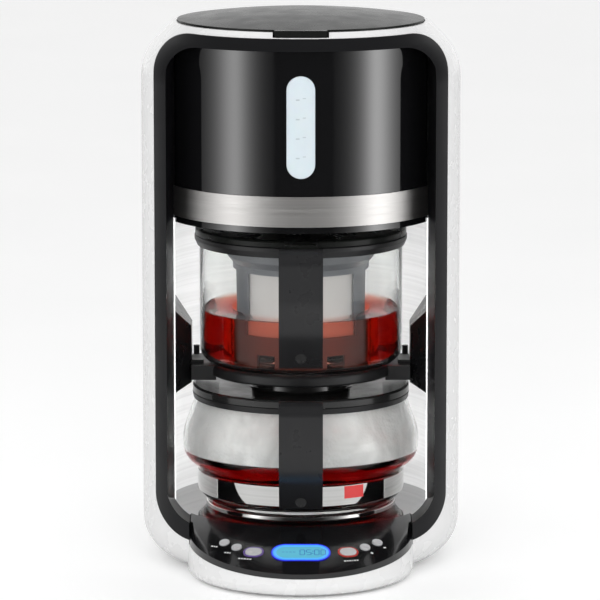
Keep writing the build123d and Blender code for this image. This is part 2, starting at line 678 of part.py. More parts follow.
def button(face, flange):
    """Button cap with a dished top, a retaining flange under the panel and a stem to its switch."""
    cap = extrude(face, amount=button_h)
    cap = fillet(cap.edges().group_by(Axis.Z)[-1], 0.5)
    return cap + extrude(flange, amount=0.8) + extrude(Circle(1.4), amount=-STEM_TO_SWITCH)


def small_button(name):
    solid = button(Circle(SMALL_BUTTON_R), Circle(SMALL_BUTTON_R + FLANGE_W))
    dish = Pos(0, 0, button_h + DISH_R - 0.4) * Sphere(DISH_R)
    return on_panel(*small_places[name], BUTTON_SEAT) * (solid - dish)


def oval_button(name):
    face = SlotOverall(OVAL_BUTTON_W, OVAL_BUTTON_H)
    flange = SlotOverall(OVAL_BUTTON_W + 2 * FLANGE_W, OVAL_BUTTON_H + 2 * FLANGE_W)
    return on_panel(*oval_places[name], BUTTON_SEAT) * button(face, flange)


def circuit_board():
    """Board under the panel with the display module and a switch under each button."""
    board_low = on_panel(LCD_AT, 0, BOARD_DROP + BOARD_T)
    out, turn = small_places["button_right_outer"]
    half_w = out * sin(radians(turn)) + BOARD_RIM
    back = (LCD_AT - out * cos(radians(turn))) / cos(radians(panel_slope)) + BOARD_RIM
    outline = Pos(0, (back - BOARD_FRONT) / 2) * Rectangle(2 * half_w, back + BOARD_FRONT)
    board = extrude(board_low * outline, amount=BOARD_T)
    module = on_panel(LCD_AT, 0, BOARD_DROP + 0.5) * Rectangle(LCD_W + 1, LCD_H + 1)
    board += extrude(module, amount=BOARD_DROP + 0.5 - SKIN - FIT)
    switch_top = BUTTON_SEAT + STEM_TO_SWITCH + BUTTON_TRAVEL + 0.2
    for place in list(small_places.values()) + list(oval_places.values()):
        switch = on_panel(*place, BOARD_DROP + 1) * Rectangle(5, 5)
        board += extrude(switch, amount=BOARD_DROP + 1 - switch_top)
    board &= extrude(board_low * Rectangle(BIG, BIG), amount=BIG)
    return board & lobe(SKIN + 1, 0, HEIGHT) & panel_body(SKIN + FIT)


# Base and water path

def base_plate():
    low = FOOT_H
    plate = base_outline(FIT, low, low + BASE_T)
    for x in (-POST_X, POST_X):
        for y in (-POST_Y, POST_Y):
            post = disc(POST_R, low + BASE_T, FLOOR_TOP - FLOOR_T, x, y)
            plate += post
            plate -= disc(SCREW_R + SCREW_GAP, low - 1, low + 14, x, y)
    return plate


def rubber_feet():
    """Two feet under the back of the barrel and two under the lobe."""
    reach = flat_r - FOOT_R - 0.3
    feet = []
    for way in (-1, 1):
        feet.append(disc(FOOT_R, 0, FOOT_H, way * reach * sin(radians(40)), reach * cos(radians(40))))
        feet.append(disc(FOOT_R, 0, FOOT_H, way * (LOBE_R - FOOT_INSET), -POST_Y - FOOT_FROM_POST))
    return Compound(children=feet)


def base_screws():
    screws = []
    for x in (-POST_X, POST_X):
        for y in (-POST_Y, POST_Y):
            screws.append(disc(3.2, FOOT_H - 1.2, FOOT_H, x, y) + disc(SCREW_R, FOOT_H, FOOT_H + 13, x, y))
    return Compound(children=screws)


def disc_at_gland(radius, near, far):
    """Round bar square to the barrel's wall at the cord outlet, from near to far of the surface."""
    turn = radians(GLAND_ANGLE)
    way = Vector(sin(turn), cos(turn), 0)
    centre = Vector(0, 0, GLAND_Z)
    return rod(radius, tuple(centre + way * (BARREL_R + near)), tuple(centre + way * (BARREL_R + far)))


def cable_gland():
    gland = disc_at_gland(GLAND_R - 2.0, -WALL - 2, 0.5) + disc_at_gland(GLAND_R, 0.5, 3.0)
    gland += disc_at_gland(GLAND_R, -WALL - 5, -WALL - 2)
    return gland - disc_at_gland(3.2, -20, 20)


def flow_heater():
    """Open ring of extruded aluminium with the water tube, clamped under the warming plate."""
    top = plate_top - PLATE_T
    body = ring(HEATER_R - HEATER_W / 2, HEATER_R + HEATER_W / 2, top - HEATER_H, top)
    body -= wedge(22, top - HEATER_H - 1, top + 1, front=False)
    middle = top - HEATER_H / 2
    for side in (-1, 1):
        x = side * HOSE_X
        body += rod(3.6, (x, HEATER_R - 6, middle), (x, HEATER_R + 15, middle))
    return body


def thermostat():
    top = plate_top - PLATE_T
    return disc(11, top - 8, top) + disc(7, top - 12, top - 8)


def hose(points):
    """Round hose along straight runs joined by arcs."""
    path = FilletPolyline(*points, radius=9.0)
    start = Plane(path @ 0, z_dir=path % 0)
    solid = sweep(start * Circle(HOSE_R), path=path)
    return solid - sweep(start * Circle(HOSE_BORE_R), path=path)


def riser_tube():
    low = plate_top - PLATE_T - HEATER_H / 2
    top = recess_z + SKIN + HOSE_R + FIT
    turn_y = NOZZLE_R + 20
    return hose([(HOSE_X, HEATER_R + 15, low), (HOSE_X, HOSE_Y, low), (HOSE_X, HOSE_Y, top),
                 (HOSE_X, turn_y + 14, top), (0, turn_y, top), (0, NOZZLE_R + 0.3, top)])


def cold_hose():
    low = plate_top - PLATE_T - HEATER_H / 2
    top = recess_z + SKIN + HOSE_R + FIT
    return hose([(-HOSE_X, COLD_Y + 5.2, top), (-HOSE_X, HOSE_Y, top), (-HOSE_X, HOSE_Y, low),
                 (-HOSE_X, HEATER_R + 15, low)])


# Brewing vessel

def brew_glass():
    inner_r = VESSEL_R - VESSEL_WALL
    floor = vessel_z + GLASS_FLOOR
    return turned([(VALVE_HOLE_R, vessel_z + PUNT_H), (PUNT_R, vessel_z + PUNT_H, 2),
                   (PUNT_R + 4, vessel_z, 2), (VESSEL_R, vessel_z, VESSEL_ROUND), (VESSEL_R, vessel_top, 1),
                   (inner_r, vessel_top, 1), (inner_r, floor, VESSEL_ROUND - VESSEL_WALL),
                   (PUNT_R + 6, floor, 2), (PUNT_R + 2, floor + PUNT_H, 2),
                   (VALVE_HOLE_R, floor + PUNT_H)])


def brew_collar():
    """Black ring on the glass rim that carries the handle and the lid's hinge."""
    low = collar_top - COLLAR_H
    outer = VESSEL_R + COLLAR_PROUD
    inner = VESSEL_R - VESSEL_WALL
    return turned([(VESSEL_R + 0.1, low), (VESSEL_R + 1.6, low), (outer, low + 4.2, 1.5),
                   (outer, collar_top, 0.8), (inner, collar_top), (inner, vessel_top + 0.1),
                   (VESSEL_R + 0.1, vessel_top + 0.1)])


def brew_handle():
    outer = -(VESSEL_R + HANDLE_REACH)
    inner = outer + HANDLE_T
    crown = collar_top + 4
    low = vessel_z + 8.5
    collar_r = VESSEL_R + COLLAR_PROUD
    side = [(-VESSEL_R + 3, low), (-VESSEL_R - 13, low, 6), (outer, low + 36, 45), (outer, crown, 11),
            (outer + 13, crown, 4), (outer + 19, collar_top - 1.4, 4), (-collar_r + 4, collar_top - 1.4),
            (-collar_r + 4, collar_top - COLLAR_H + 1), (inner + 4, collar_top - COLLAR_H - 1, 7),
            (inner, collar_top - 20, 12), (inner, low + 42, 30), (-VESSEL_R - 9, low + 19, 8),
            (-VESSEL_R + 3, low + 19)]
    strap = side_cut(side, HANDLE_W)
    strap -= disc(VESSEL_R + 0.1, low - 5, collar_top - COLLAR_H)
    strap -= disc(collar_r, collar_top - COLLAR_H - 2, collar_top + 9)
    strap -= disc(VESSEL_R + 0.1 + COLLAR_PROUD, collar_top - COLLAR_H - 2, collar_top + 9)
    strap += hinge_ears(brew_pin_y, brew_pin_z, collar_top - 1.4)
    return drill(strap, VESSEL_R, BREW_SCREW_SEAT, brew_screw_z)


def jug_handle():
    outer = -(VESSEL_R + HANDLE_REACH)
    inner = outer + HANDLE_T
    crown = jug_lid_z + 11
    top = jug_pin_z - 4.0
    low = jug_z + WAIST_LOW + 0.6
    side = [(-JUG_WAIST_R + 3, low), (-JUG_WAIST_R - 12, low, 6), (outer, low + 34, 40),
            (outer, crown, 10), (outer + 13, crown, 4), (outer + 20, top, 4), (-JUG_LID_R + 4, top),
            (-JUG_LID_R + 4, jug_collar_top - JUG_COLLAR_H),
            (inner + 6, jug_collar_top - JUG_COLLAR_H - 1, 7),
            (inner, jug_top - 14, 8), (inner, low + 40, 20), (-JUG_WAIST_R - 8, low + 14, 5),
            (-JUG_WAIST_R + 3, low + 14)]
    strap = side_cut(side, HANDLE_W)
    strap -= disc(JUG_WAIST_R + JUG_BAND_T, low - 5, low + 20)
    strap -= disc(JUG_LID_R + 0.4, jug_collar_top - JUG_COLLAR_H - 3, crown + 5)
    strap += hinge_ears(JUG_PIN_Y, jug_pin_z, top)
    return drill(strap, JUG_WAIST_R + JUG_BAND_T, JUG_SCREW_SEAT, jug_screw_z)


def hinge_ears(y, z, low):
    """Two ears on a handle that hold the pin of the lid."""
    ears = []
    for side in (-1, 1):
        x0, x1 = sorted((side * (LID_PIN_L / 2), side * (LID_PIN_L / 2 - EAR_W)))
        ear = rod(LID_BARREL_R, (x0, -y, z), (x1, -y, z))
        ear += block(x0, x1, -y - LID_BARREL_R, -y + LID_BARREL_R, low - 3, z)
        ears.append(ear - rod(LID_PIN_R, (x0 - 1, -y, z), (x1 + 1, -y, z)))
    return ears[0] + ears[1]


def drill(strap, foot_r, seat, z):
    """Pocket and hole for the screw at the foot of a handle."""
    strap -= rod(SCREW_HEAD_R + FIT, (0, -foot_r - 2 * seat, z), (0, -foot_r - seat, z))
    return strap - rod(SCREW_R + SCREW_GAP, (0, -foot_r - seat - 1, z), (0, -foot_r + 4, z))


def handle_screw(foot_r, seat, z):
    head = rod(SCREW_HEAD_R, (0, -foot_r - seat - 2.2, z), (0, -foot_r - seat, z))
    slot = block(-0.6, 0.6, -foot_r - seat - 3, -foot_r - seat - 1.4, z - 3, z + 3)
    return head - slot + rod(SCREW_R, (0, -foot_r - seat, z), (0, -foot_r - 0.3, z))


def hinge_pin(y, z):
    return rod(LID_PIN_R, (-LID_PIN_L / 2, -y, z), (LID_PIN_L / 2, -y, z))


def thumb_tab(y, z, rise):
    """Lever over the handle that opens a lid, with the barrel it turns on."""
    tab = side_cut([(-y, z - 1.0), (-y - 6, z - 1.2 + rise * 0.2, 4), (-y - 20, z - 1.2 + rise),
                    (-y - 20, z - 1.2 + rise + TAB_T), (-y - 6, z + 1.4 + rise * 0.2, 4),
                    (-y, z + 1.6)], TAB_W)
    slot = LID_PIN_L / 2 - EAR_W - 0.4
    neck = block(-slot, slot, -y - LID_BARREL_R - 2, -y + 6, z - 1.4, z + 1.8)
    wide = tab & block(-BIG, BIG, -BIG, -y - LID_BARREL_R - 0.8, 0, HEIGHT)
    lever = wide + neck + rod(LID_BARREL_R, (-slot, -y, z), (slot, -y, z))
    return lever - rod(LID_PIN_R + PIN_CLEARANCE, (-slot - 1, -y, z), (slot + 1, -y, z))


def brew_lid():
    low, edge = brew_lid_z, brew_lid_z + BREW_LID_H
    rim = VESSEL_R + COLLAR_PROUD - 0.5
    plug = VESSEL_R - VESSEL_WALL - 1.0
    lid = turned([(10, low + 2.4), (plug - SKIN, low), (plug - SKIN, low - 3), (plug, low - 3), (plug, low),
                  (rim, low), (rim, edge - 0.6, 1.2), (rim - 3, edge), (12, edge + BREW_LID_RISE),
                  (10, edge + BREW_LID_RISE)])
    lid -= ear_gap(brew_pin_y)
    return lid + thumb_tab(brew_pin_y, brew_pin_z, 1.2)


def ear_gap(y):
    """Room at a lid's edge for the hinge ears."""
    half, outer, inner = LID_BARREL_R + 0.6, LID_PIN_L / 2 + 0.5, LID_PIN_L / 2 - EAR_W - 0.5
    slots = block(-outer, outer, -y - half, -y + half, 0, HEIGHT)
    return slots - block(-inner, inner, -y - half - 1, -y + half + 1, -1, HEIGHT + 1)


def strainer_frame():
    floor = vessel_z + GLASS_FLOOR
    inner = STRAINER_R - STRAINER_WALL
    neck = floor + STRAINER_H - STRAINER_FLANGE_H
    top = floor + STRAINER_H
    body = turned([(inner, floor), (STRAINER_R, floor), (STRAINER_R + 1, neck - 5),
                   (STRAINER_FLANGE_R, neck, 1.5), (STRAINER_FLANGE_R, top, 0.8),
                   (STRAINER_FLANGE_R - 2, top, 0.8),
                   (STRAINER_FLANGE_R - 2, neck + 1.5), (inner + 1, neck - 3.5)])
    body += disc(inner + 0.5, floor + STRAINER_FLOOR, floor + STRAINER_FLOOR + 2)
    window_low = floor + STRAINER_FLOOR + 6
    for index in range(STRAINER_WINDOWS):
        turn = Rot(0, 0, (index + 0.5) * 360 / STRAINER_WINDOWS)
        half = STRAINER_WINDOW_W / 2
        body -= turn * block(-half, half, -BIG, -inner + 8, window_low, neck - 9)
        body -= turn * block(-7, 7, -BIG, -inner + 8, floor - 1, floor + 8)
    return body


def strainer_mesh():
    floor = vessel_z + GLASS_FLOOR + STRAINER_FLOOR + 2
    outer = STRAINER_R - STRAINER_WALL - FIT
    return ring(outer - MESH_T, outer, floor, vessel_z + GLASS_FLOOR + STRAINER_H - STRAINER_FLANGE_H - 6)


def valve_seat():
    """Flanged bush clamped through the vessel's floor, with a spider that guides the stem."""
    under = vessel_z + PUNT_H
    over = under + GLASS_FLOOR
    neck = VALVE_HOLE_R - FIT
    seat = turned([(0, under - 1.6), (VALVE_FLANGE_R, under - 1.6), (VALVE_FLANGE_R, under), (neck, under),
                   (neck, over), (VALVE_FLANGE_R, over), (VALVE_FLANGE_R, over + 2, 0.6),
                   (VALVE_BORE_R, over + 2), (VALVE_BORE_R, under), (0, under)])
    seat -= disc(STEM_R + PIN_CLEARANCE, 0, HEIGHT)
    for index in range(4):
        hole = disc(DRAIN_HOLE_R, under - 3, under + 0.5, (STEM_R + VALVE_BORE_R) / 2)
        seat -= Rot(0, 0, 45 + index * 90) * hole
    return seat


def valve_stem():
    over = vessel_z + PUNT_H + GLASS_FLOOR + 2
    stem = disc(STEM_R, vessel_z - 0.3, over + 1)
    return stem + disc(VALVE_BORE_R + 2.2, over + REST, over + 3)


# Serving jug

def jug_glass():
    z = jug_z
    body = [(JUG_WAIST_R, z + WAIST_LOW, 5), (JUG_WAIST_R, z + WAIST_TOP, 4),
            (JUG_BULGE_R, z + BULGE_LOW, 14), (JUG_BULGE_R, z + BULGE_TOP, 30),
            (JUG_NECK_R, z + JUG_H - NECK_H, 6), (JUG_NECK_R, z + JUG_H)]
    inner = [(corner[0] - JUG_WALL,) + corner[1:] for corner in reversed(body)]
    floor = z + JUG_WALL + 0.7
    base = [(JUG_FOOT_R - JUG_WALL, floor, 3), (0, floor)]
    return turned([(0, z), (JUG_FOOT_R, z, 3)] + body + inner + base)


def jug_band():
    low = jug_z + WAIST_LOW + 0.6
    return ring(JUG_WAIST_R, JUG_WAIST_R + JUG_BAND_T, low, low + JUG_BAND_H)


def jug_collar():
    top, low = jug_collar_top, jug_collar_top - JUG_COLLAR_H
    inner = JUG_NECK_R - 3.5
    return turned([(JUG_NECK_R + 0.1, low), (JUG_LID_R - 0.5, low), (JUG_LID_R + 0.2, top, 0.5),
                   (inner, top), (inner, jug_top + 0.1), (JUG_NECK_R + 0.1, jug_top + 0.1)])


def jug_lid():
    """Lid with a raised funnel in the middle that catches the brewed tea."""
    low, top = jug_lid_z, jug_lid_z + JUG_LID_H
    plug = JUG_NECK_R - 4.0
    hub_top = low + HUB_H
    lid = turned([(FUNNEL_R, low - 1), (HUB_R - 10, low - 0.6), (plug - SKIN, low), (plug - SKIN, low - 3),
                  (plug, low - 3),
                  (plug, low), (JUG_LID_R, low), (JUG_LID_R, top - 0.6, 0.8), (JUG_LID_R - 2, top),
                  (HUB_R + 2, low + 2.2, 2), (HUB_R + 0.4, hub_top - 0.4, 0.8), (HUB_R - 3, hub_top, 0.8),
                  (HUB_R - 12, low + 3, 3), (FUNNEL_R, low + 1.5)])
    lid -= ear_gap(JUG_PIN_Y)
    return lid + thumb_tab(JUG_PIN_Y, jug_pin_z, 5.5)


root_parts = {
    "outer_shell": outer_shell, "front_bezel": front_bezel, "drum_cover": drum_cover,
    "steel_band": steel_band, "level_window": level_window, "drum_floor": drum_floor,
    "spray_head": spray_head, "water_tank": water_tank, "top_deck": top_deck,
    "lid_hinge_pins": lid_hinge_pins, "bay_liner": bay_liner, "vessel_shelf": vessel_shelf,
    "drain_solenoid": drain_solenoid, "floor_cover": floor_cover, "warming_plate": warming_plate,
    "plate_ring": plate_ring, "control_panel": control_panel, "lcd_window": lcd_window,
    "circuit_board": circuit_board, "base_plate": base_plate, "rubber_feet": rubber_feet,
    "base_screws": base_screws, "cable_gland": cable_gland, "flow_heater": flow_heater,
    "thermostat": thermostat, "riser_tube": riser_tube, "cold_hose": cold_hose,
    "top_lid": top_lid, "lift_arm": lift_arm, "brew_glass": brew_glass, "brew_collar": brew_collar,
    "brew_handle": brew_handle, "strainer_frame": strainer_frame, "strainer_mesh": strainer_mesh,
    "valve_seat": valve_seat, "valve_stem": valve_stem, "brew_lid": brew_lid,
    "jug_glass": jug_glass, "jug_band": jug_band, "jug_collar": jug_collar, "jug_handle": jug_handle,
    "jug_lid": jug_lid,
}

for name, make in root_parts.items():
    save(name, make())
for name, side in (("cheek_left", -1), ("cheek_right", 1)):
    save(name, cheek(side))
save("brew_screw", handle_screw(VESSEL_R, BREW_SCREW_SEAT, brew_screw_z))
save("jug_screw", handle_screw(JUG_WAIST_R + JUG_BAND_T, JUG_SCREW_SEAT, jug_screw_z))
save("brew_hinge_pin", hinge_pin(brew_pin_y, brew_pin_z))
save("jug_hinge_pin", hinge_pin(JUG_PIN_Y, jug_pin_z))
for name in small_places:
    save(name, small_button(name))
for name in oval_places:
    save(name, oval_button(name))
    save(name.replace("button", "ring"), oval_ring(name))
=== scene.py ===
import math

import bmesh
import bpy
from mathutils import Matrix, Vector


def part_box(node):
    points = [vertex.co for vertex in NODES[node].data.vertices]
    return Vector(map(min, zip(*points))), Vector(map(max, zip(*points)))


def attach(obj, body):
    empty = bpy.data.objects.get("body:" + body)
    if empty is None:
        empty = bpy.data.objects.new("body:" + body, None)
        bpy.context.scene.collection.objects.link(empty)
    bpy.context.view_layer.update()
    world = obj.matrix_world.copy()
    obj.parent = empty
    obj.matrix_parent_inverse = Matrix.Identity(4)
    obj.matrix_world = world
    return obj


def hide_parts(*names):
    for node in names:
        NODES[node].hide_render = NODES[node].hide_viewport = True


bl_info = {
    "name": "Tea maker",
    "version": (1, 0, 0),
    "blender": (4, 5, 0),
    "location": "View3D > Sidebar > Tea maker",
    "description": "Dresses the packed tea maker with its finishes, glass, tea, marks and studio",
    "category": "Object",
}

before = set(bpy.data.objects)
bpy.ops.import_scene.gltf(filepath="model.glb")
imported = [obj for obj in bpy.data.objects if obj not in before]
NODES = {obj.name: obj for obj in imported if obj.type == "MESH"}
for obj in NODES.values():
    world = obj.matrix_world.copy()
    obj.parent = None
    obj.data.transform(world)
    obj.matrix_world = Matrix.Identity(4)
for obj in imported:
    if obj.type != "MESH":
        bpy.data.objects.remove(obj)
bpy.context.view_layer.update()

AXIS_Y = 0.0165                             # the barrel's axis behind the middle of the footprint, in metres
PANEL_SLOPE = math.radians(21.5)            # slope of the conical control panel
PANEL_POINT_OUT, PANEL_POINT_Z = 92, 40     # one point of that cone, in millimetres
DISPLAY_HALF_LENGTH, DISPLAY_R = 0.0105, 0.0105     # straight part and rounded end of the lit field
TURN_STEPS, JUG_STEPS, ROUND_STEPS = 160, 192, 7
SHARP_ANGLE = math.radians(30)              # edges that turn more than this stay sharp


def mm(value):
    return value / 1000


# ---------------------------------------------------------------- sizes and colours

class TeaMakerColours(bpy.types.PropertyGroup):
    housing: bpy.props.FloatVectorProperty(
        name="Housing", description="Colour of the white barrel", subtype="COLOR", size=4,
        min=0, max=1, default=(0.80, 0.80, 0.80, 1))
    frame_black: bpy.props.FloatVectorProperty(
        name="Front frame", description="Colour of the moulded frame round the opening", subtype="COLOR",
        size=4, min=0, max=1, default=(0.009, 0.009, 0.010, 1))
    gloss_black: bpy.props.FloatVectorProperty(
        name="Gloss black", description="Colour of the head, the bay floor and the control panel",
        subtype="COLOR", size=4, min=0, max=1, default=(0.004, 0.004, 0.0045, 1))
    handle_black: bpy.props.FloatVectorProperty(
        name="Handle black", description="Colour of the handles, rims and the shelf", subtype="COLOR",
        size=4, min=0, max=1, default=(0.016, 0.016, 0.017, 1))
    tea: bpy.props.FloatVectorProperty(
        name="Tea", description="Light that the tea lets through per centimetre", subtype="COLOR",
        size=4, min=0, max=1, default=(0.87, 0.47, 0.38, 1))
    display: bpy.props.FloatVectorProperty(
        name="Display", description="Colour of the lit display", subtype="COLOR", size=4,
        min=0, max=1, default=(0.075, 0.30, 0.40, 1))


class TeaMakerSizes(bpy.types.PropertyGroup):
    vessel_level: bpy.props.FloatProperty(
        name="Tea in the vessel", description="Height of the tea in the brewing vessel above its floor",
        default=0.0365, min=0.01, max=0.07, unit="LENGTH", precision=4)
    jug_level: bpy.props.FloatProperty(
        name="Tea in the jug", description="Height of the tea in the jug above its floor",
        default=0.0345, min=0.01, max=0.06, unit="LENGTH", precision=4)


# ---------------------------------------------------------------- material making

class Finish:
    """A node material built step by step around one Principled shader."""

    def __init__(self, name):
        self.material = bpy.data.materials.new(name)
        self.material.use_nodes = True
        self.tree = self.material.node_tree
        self.shader = self.tree.nodes["Principled BSDF"]
        self.output = self.tree.nodes["Material Output"]
        self.place = self.add("ShaderNodeTexCoord").outputs["Object"]

    def add(self, kind, **settings):
        node = self.tree.nodes.new(kind)
        for key, value in settings.items():
            setattr(node, key, value)
        return node

    def link(self, source, target):
        self.tree.links.new(source, target)
        return self

    def set(self, **values):
        for key, value in values.items():
            self.shader.inputs[key.replace("_", " ").title().replace("Ior", "IOR")].default_value = value
        return self

    def parts(self):
        """The object coordinates one by one."""
        node = self.add("ShaderNodeSeparateXYZ")
        self.link(self.place, node.inputs["Vector"])
        return node.outputs

    def maths(self, operation, *values):
        """A maths node fed by numbers or by other outputs."""
        node = self.add("ShaderNodeMath", operation=operation)
        for index, value in enumerate(values):
            if isinstance(value, (int, float)):
                node.inputs[index].default_value = value
            else:
                self.link(value, node.inputs[index])
        return node.outputs["Value"]

    def stretched(self, scale):
        mapping = self.add("ShaderNodeMapping")
        mapping.inputs["Scale"].default_value = scale
        self.link(self.place, mapping.inputs["Vector"])
        return mapping.outputs["Vector"]

    def noise(self, scale, detail=3.0, stretch=(1, 1, 1), distortion=0.0):
        node = self.add("ShaderNodeTexNoise")
        node.inputs["Scale"].default_value = scale
        node.inputs["Detail"].default_value = detail
        node.inputs["Distortion"].default_value = distortion
        self.link(self.stretched(stretch), node.inputs["Vector"])
        return node.outputs["Fac"]

    def ranged(self, value, low, high, start=0.3, end=0.7):
        node = self.add("ShaderNodeMapRange")
        for key, number in (("From Min", start), ("From Max", end), ("To Min", low), ("To Max", high)):
            node.inputs[key].default_value = number
        self.link(value, node.inputs["Value"])
        return node.outputs["Result"]

    def blended(self, factor, first, second):
        node = self.add("ShaderNodeMix", data_type="RGBA")
        node.inputs["A"].default_value = first
        node.inputs["B"].default_value = second
        self.link(factor, node.inputs["Factor"])
        return node.outputs["Result"]

    def rough(self, value, low, high):
        return self.link(self.ranged(value, low, high), self.shader.inputs["Roughness"])

    def tint(self, value, first, second):
        colour = self.blended(self.ranged(value, 0, 1), first, second)
        return self.link(colour, self.shader.inputs["Base Color"])

    def bump(self, value, depth, strength=0.5):
        node = self.add("ShaderNodeBump")
        node.inputs["Strength"].default_value = strength
        node.inputs["Distance"].default_value = depth
        self.link(value, node.inputs["Height"])
        return self.link(node.outputs["Normal"], self.shader.inputs["Normal"])


def shade(colour, factor):
    return tuple(channel * factor for channel in colour[:3]) + (1,)


def moulded(name, colour, low, high, grain, grain_scale=900, coat=0.0, coat_rough=0.05, level=0.5,
            vary=0.065):
    """Moulded plastic: faint colour drift, uneven gloss and a fine skin."""
    made = Finish(name).set(specular_ior_level=level, coat_weight=coat, coat_roughness=coat_rough)
    drift = made.noise(18, 4)
    made.tint(drift, shade(colour, 1 - vary), shade(colour, 1 + vary))
    made.rough(made.noise(55, 5), low, high)
    made.bump(made.noise(grain_scale, 4), grain)
    return made.material


def metal(name, colour, low, high, stretch, scale=1.0, depth=0.00002, anisotropic=0.0):
    """Steel with fine parallel brushing or drawing lines."""
    made = Finish(name).set(metallic=1.0, anisotropic=anisotropic)
    lines = made.noise(scale, 6, stretch)
    made.tint(lines, shade(colour, 0.90), shade(colour, 1.05))
    made.rough(lines, low, high)
    made.bump(lines, depth, 0.35)
    return made.material


def clear(name, colour, ior, rough):
    """Blown glass with faint waves in its wall."""
    made = Finish(name).set(transmission_weight=1.0, ior=ior, base_color=colour)
    made.rough(made.noise(60, 3), rough, rough + 0.02)
    made.bump(made.noise(22, 2, distortion=0.4), 0.00002, 0.25)
    return made.material


def tea_finish(name, through):
    """Clear liquid that darkens with its depth."""
    made = Finish(name).set(transmission_weight=1.0, ior=1.12, base_color=(1, 1, 1, 1))
    made.rough(made.noise(40, 3), 0.0, 0.015)
    made.bump(made.noise(30, 2), 0.00002, 0.2)
    per_metre = [-math.log(max(channel, 0.001)) * 100 for channel in through[:3]]
    density = max(per_metre)
    absorb = made.add("ShaderNodeVolumeAbsorption")
    absorb.inputs["Density"].default_value = density
    absorb.inputs["Color"].default_value = tuple(1 - value / density for value in per_metre) + (1,)
    made.link(absorb.outputs["Volume"], made.output.inputs["Volume"])
    return made.material


GAUZE_WIRES, GAUZE_PITCH = 460, 0.62     # upright wires round the gauze, and the rise between rings in mm


def woven_mesh(name):
    """Fine steel gauze: crossing wires, with a painted highlight on their crowns and painted shade between
    them.
    """
    made = Finish(name).set(metallic=0.10)
    parts = made.parts()
    angle = made.maths("ARCTAN2", parts["X"], made.maths("SUBTRACT", parts["Y"], AXIS_Y))
    waves = []
    for source, pitch in ((angle, 2 * math.pi / GAUZE_WIRES), (parts["Z"], mm(GAUZE_PITCH))):
        waves.append(made.maths("SINE", made.maths("MULTIPLY", source, 2 * math.pi / pitch)))
    weave = made.maths("MULTIPLY", *waves)
    # Painted highlight and shade: the steel colour is lighter on the wire crowns and darker between the wires
    made.link(made.blended(made.ranged(weave, 0, 1, -1, 1), (0.62, 0.59, 0.57, 1), (0.92, 0.89, 0.87, 1)),
              made.shader.inputs["Base Color"])
    made.link(made.ranged(weave, 0.35, 0.55, -1, 1), made.shader.inputs["Roughness"])
    return made.bump(weave, 0.0001, 0.6).material


def lit_display(name, colour, middle):
    """Backlit liquid crystal window: even in the middle, a blue rim where the light guide shows."""
    made = Finish(name).set(roughness=0.10, specular_ior_level=0.35)
    maths, parts = made.maths, made.parts()
    across = maths("MAXIMUM", maths("SUBTRACT", maths("ABSOLUTE", parts["X"]), DISPLAY_HALF_LENGTH), 0.0)
    back = maths("MULTIPLY", maths("SUBTRACT", parts["Y"], middle[1]), math.cos(PANEL_SLOPE))
    up = maths("MULTIPLY", maths("SUBTRACT", parts["Z"], middle[2]), math.sin(PANEL_SLOPE))
    along = maths("ADD", back, up)
    reach = maths("SQRT", maths("ADD", maths("MULTIPLY", across, across), maths("MULTIPLY", along, along)))
    share = maths("DIVIDE", reach, DISPLAY_R)
    ramp = made.add("ShaderNodeValToRGB")
    made.link(share, ramp.inputs["Fac"])
    stops = ramp.color_ramp.elements
    stops[0].position, stops[0].color = 0.0, shade(colour, 1.0)
    stops[1].position, stops[1].color = 0.62, shade(colour, 0.95)
    for position, value in ((0.80, (0.06, 0.30, 0.85, 1)), (0.93, (0.03, 0.05, 0.75, 1)),
                            (1.0, (0.01, 0.01, 0.25, 1))):
        stop = stops.new(position)
        stop.color = value
    made.link(ramp.outputs["Color"], made.shader.inputs["Base Color"])
    made.link(ramp.outputs["Color"], made.shader.inputs["Emission Color"])
    made.shader.inputs["Emission Strength"].default_value = 0.75
    made.bump(made.noise(900, 2), 0.00001, 0.2)
    return made.material


def glowing(name, colour, strength):
    """Digits of the display, with a little light of their own."""
    made = Finish(name).set(base_color=colour, emission_color=colour, emission_strength=strength)
    made.rough(made.noise(300, 3), 0.25, 0.4)
    return made.bump(made.noise(900, 2), 0.00001, 0.2).material


def wet_glass(name):
    """Mist and fine drops on the inside of the jug above the tea."""
    made = Finish(name).set(transmission_weight=0.35, ior=1.33)
    drops = made.add("ShaderNodeTexVoronoi", feature="F1")
    drops.inputs["Scale"].default_value = 420
    made.link(made.stretched((1, 1, 1)), drops.inputs["Vector"])
    cloud = made.noise(26, 6, distortion=0.6)
    made.link(made.blended(made.ranged(cloud, 0, 1), (0.66, 0.66, 0.65, 1), (0.84, 0.84, 0.83, 1)),
              made.shader.inputs["Base Color"])
    made.link(made.ranged(drops.outputs["Distance"], 0.25, 0.6, 0.0, 0.6), made.shader.inputs["Roughness"])
    made.bump(drops.outputs["Distance"], 0.0006, 0.7)
    made.link(made.ranged(cloud, 0.72, 0.98, 0.35, 0.65), made.shader.inputs["Alpha"])
    return made.material


MADE = {}


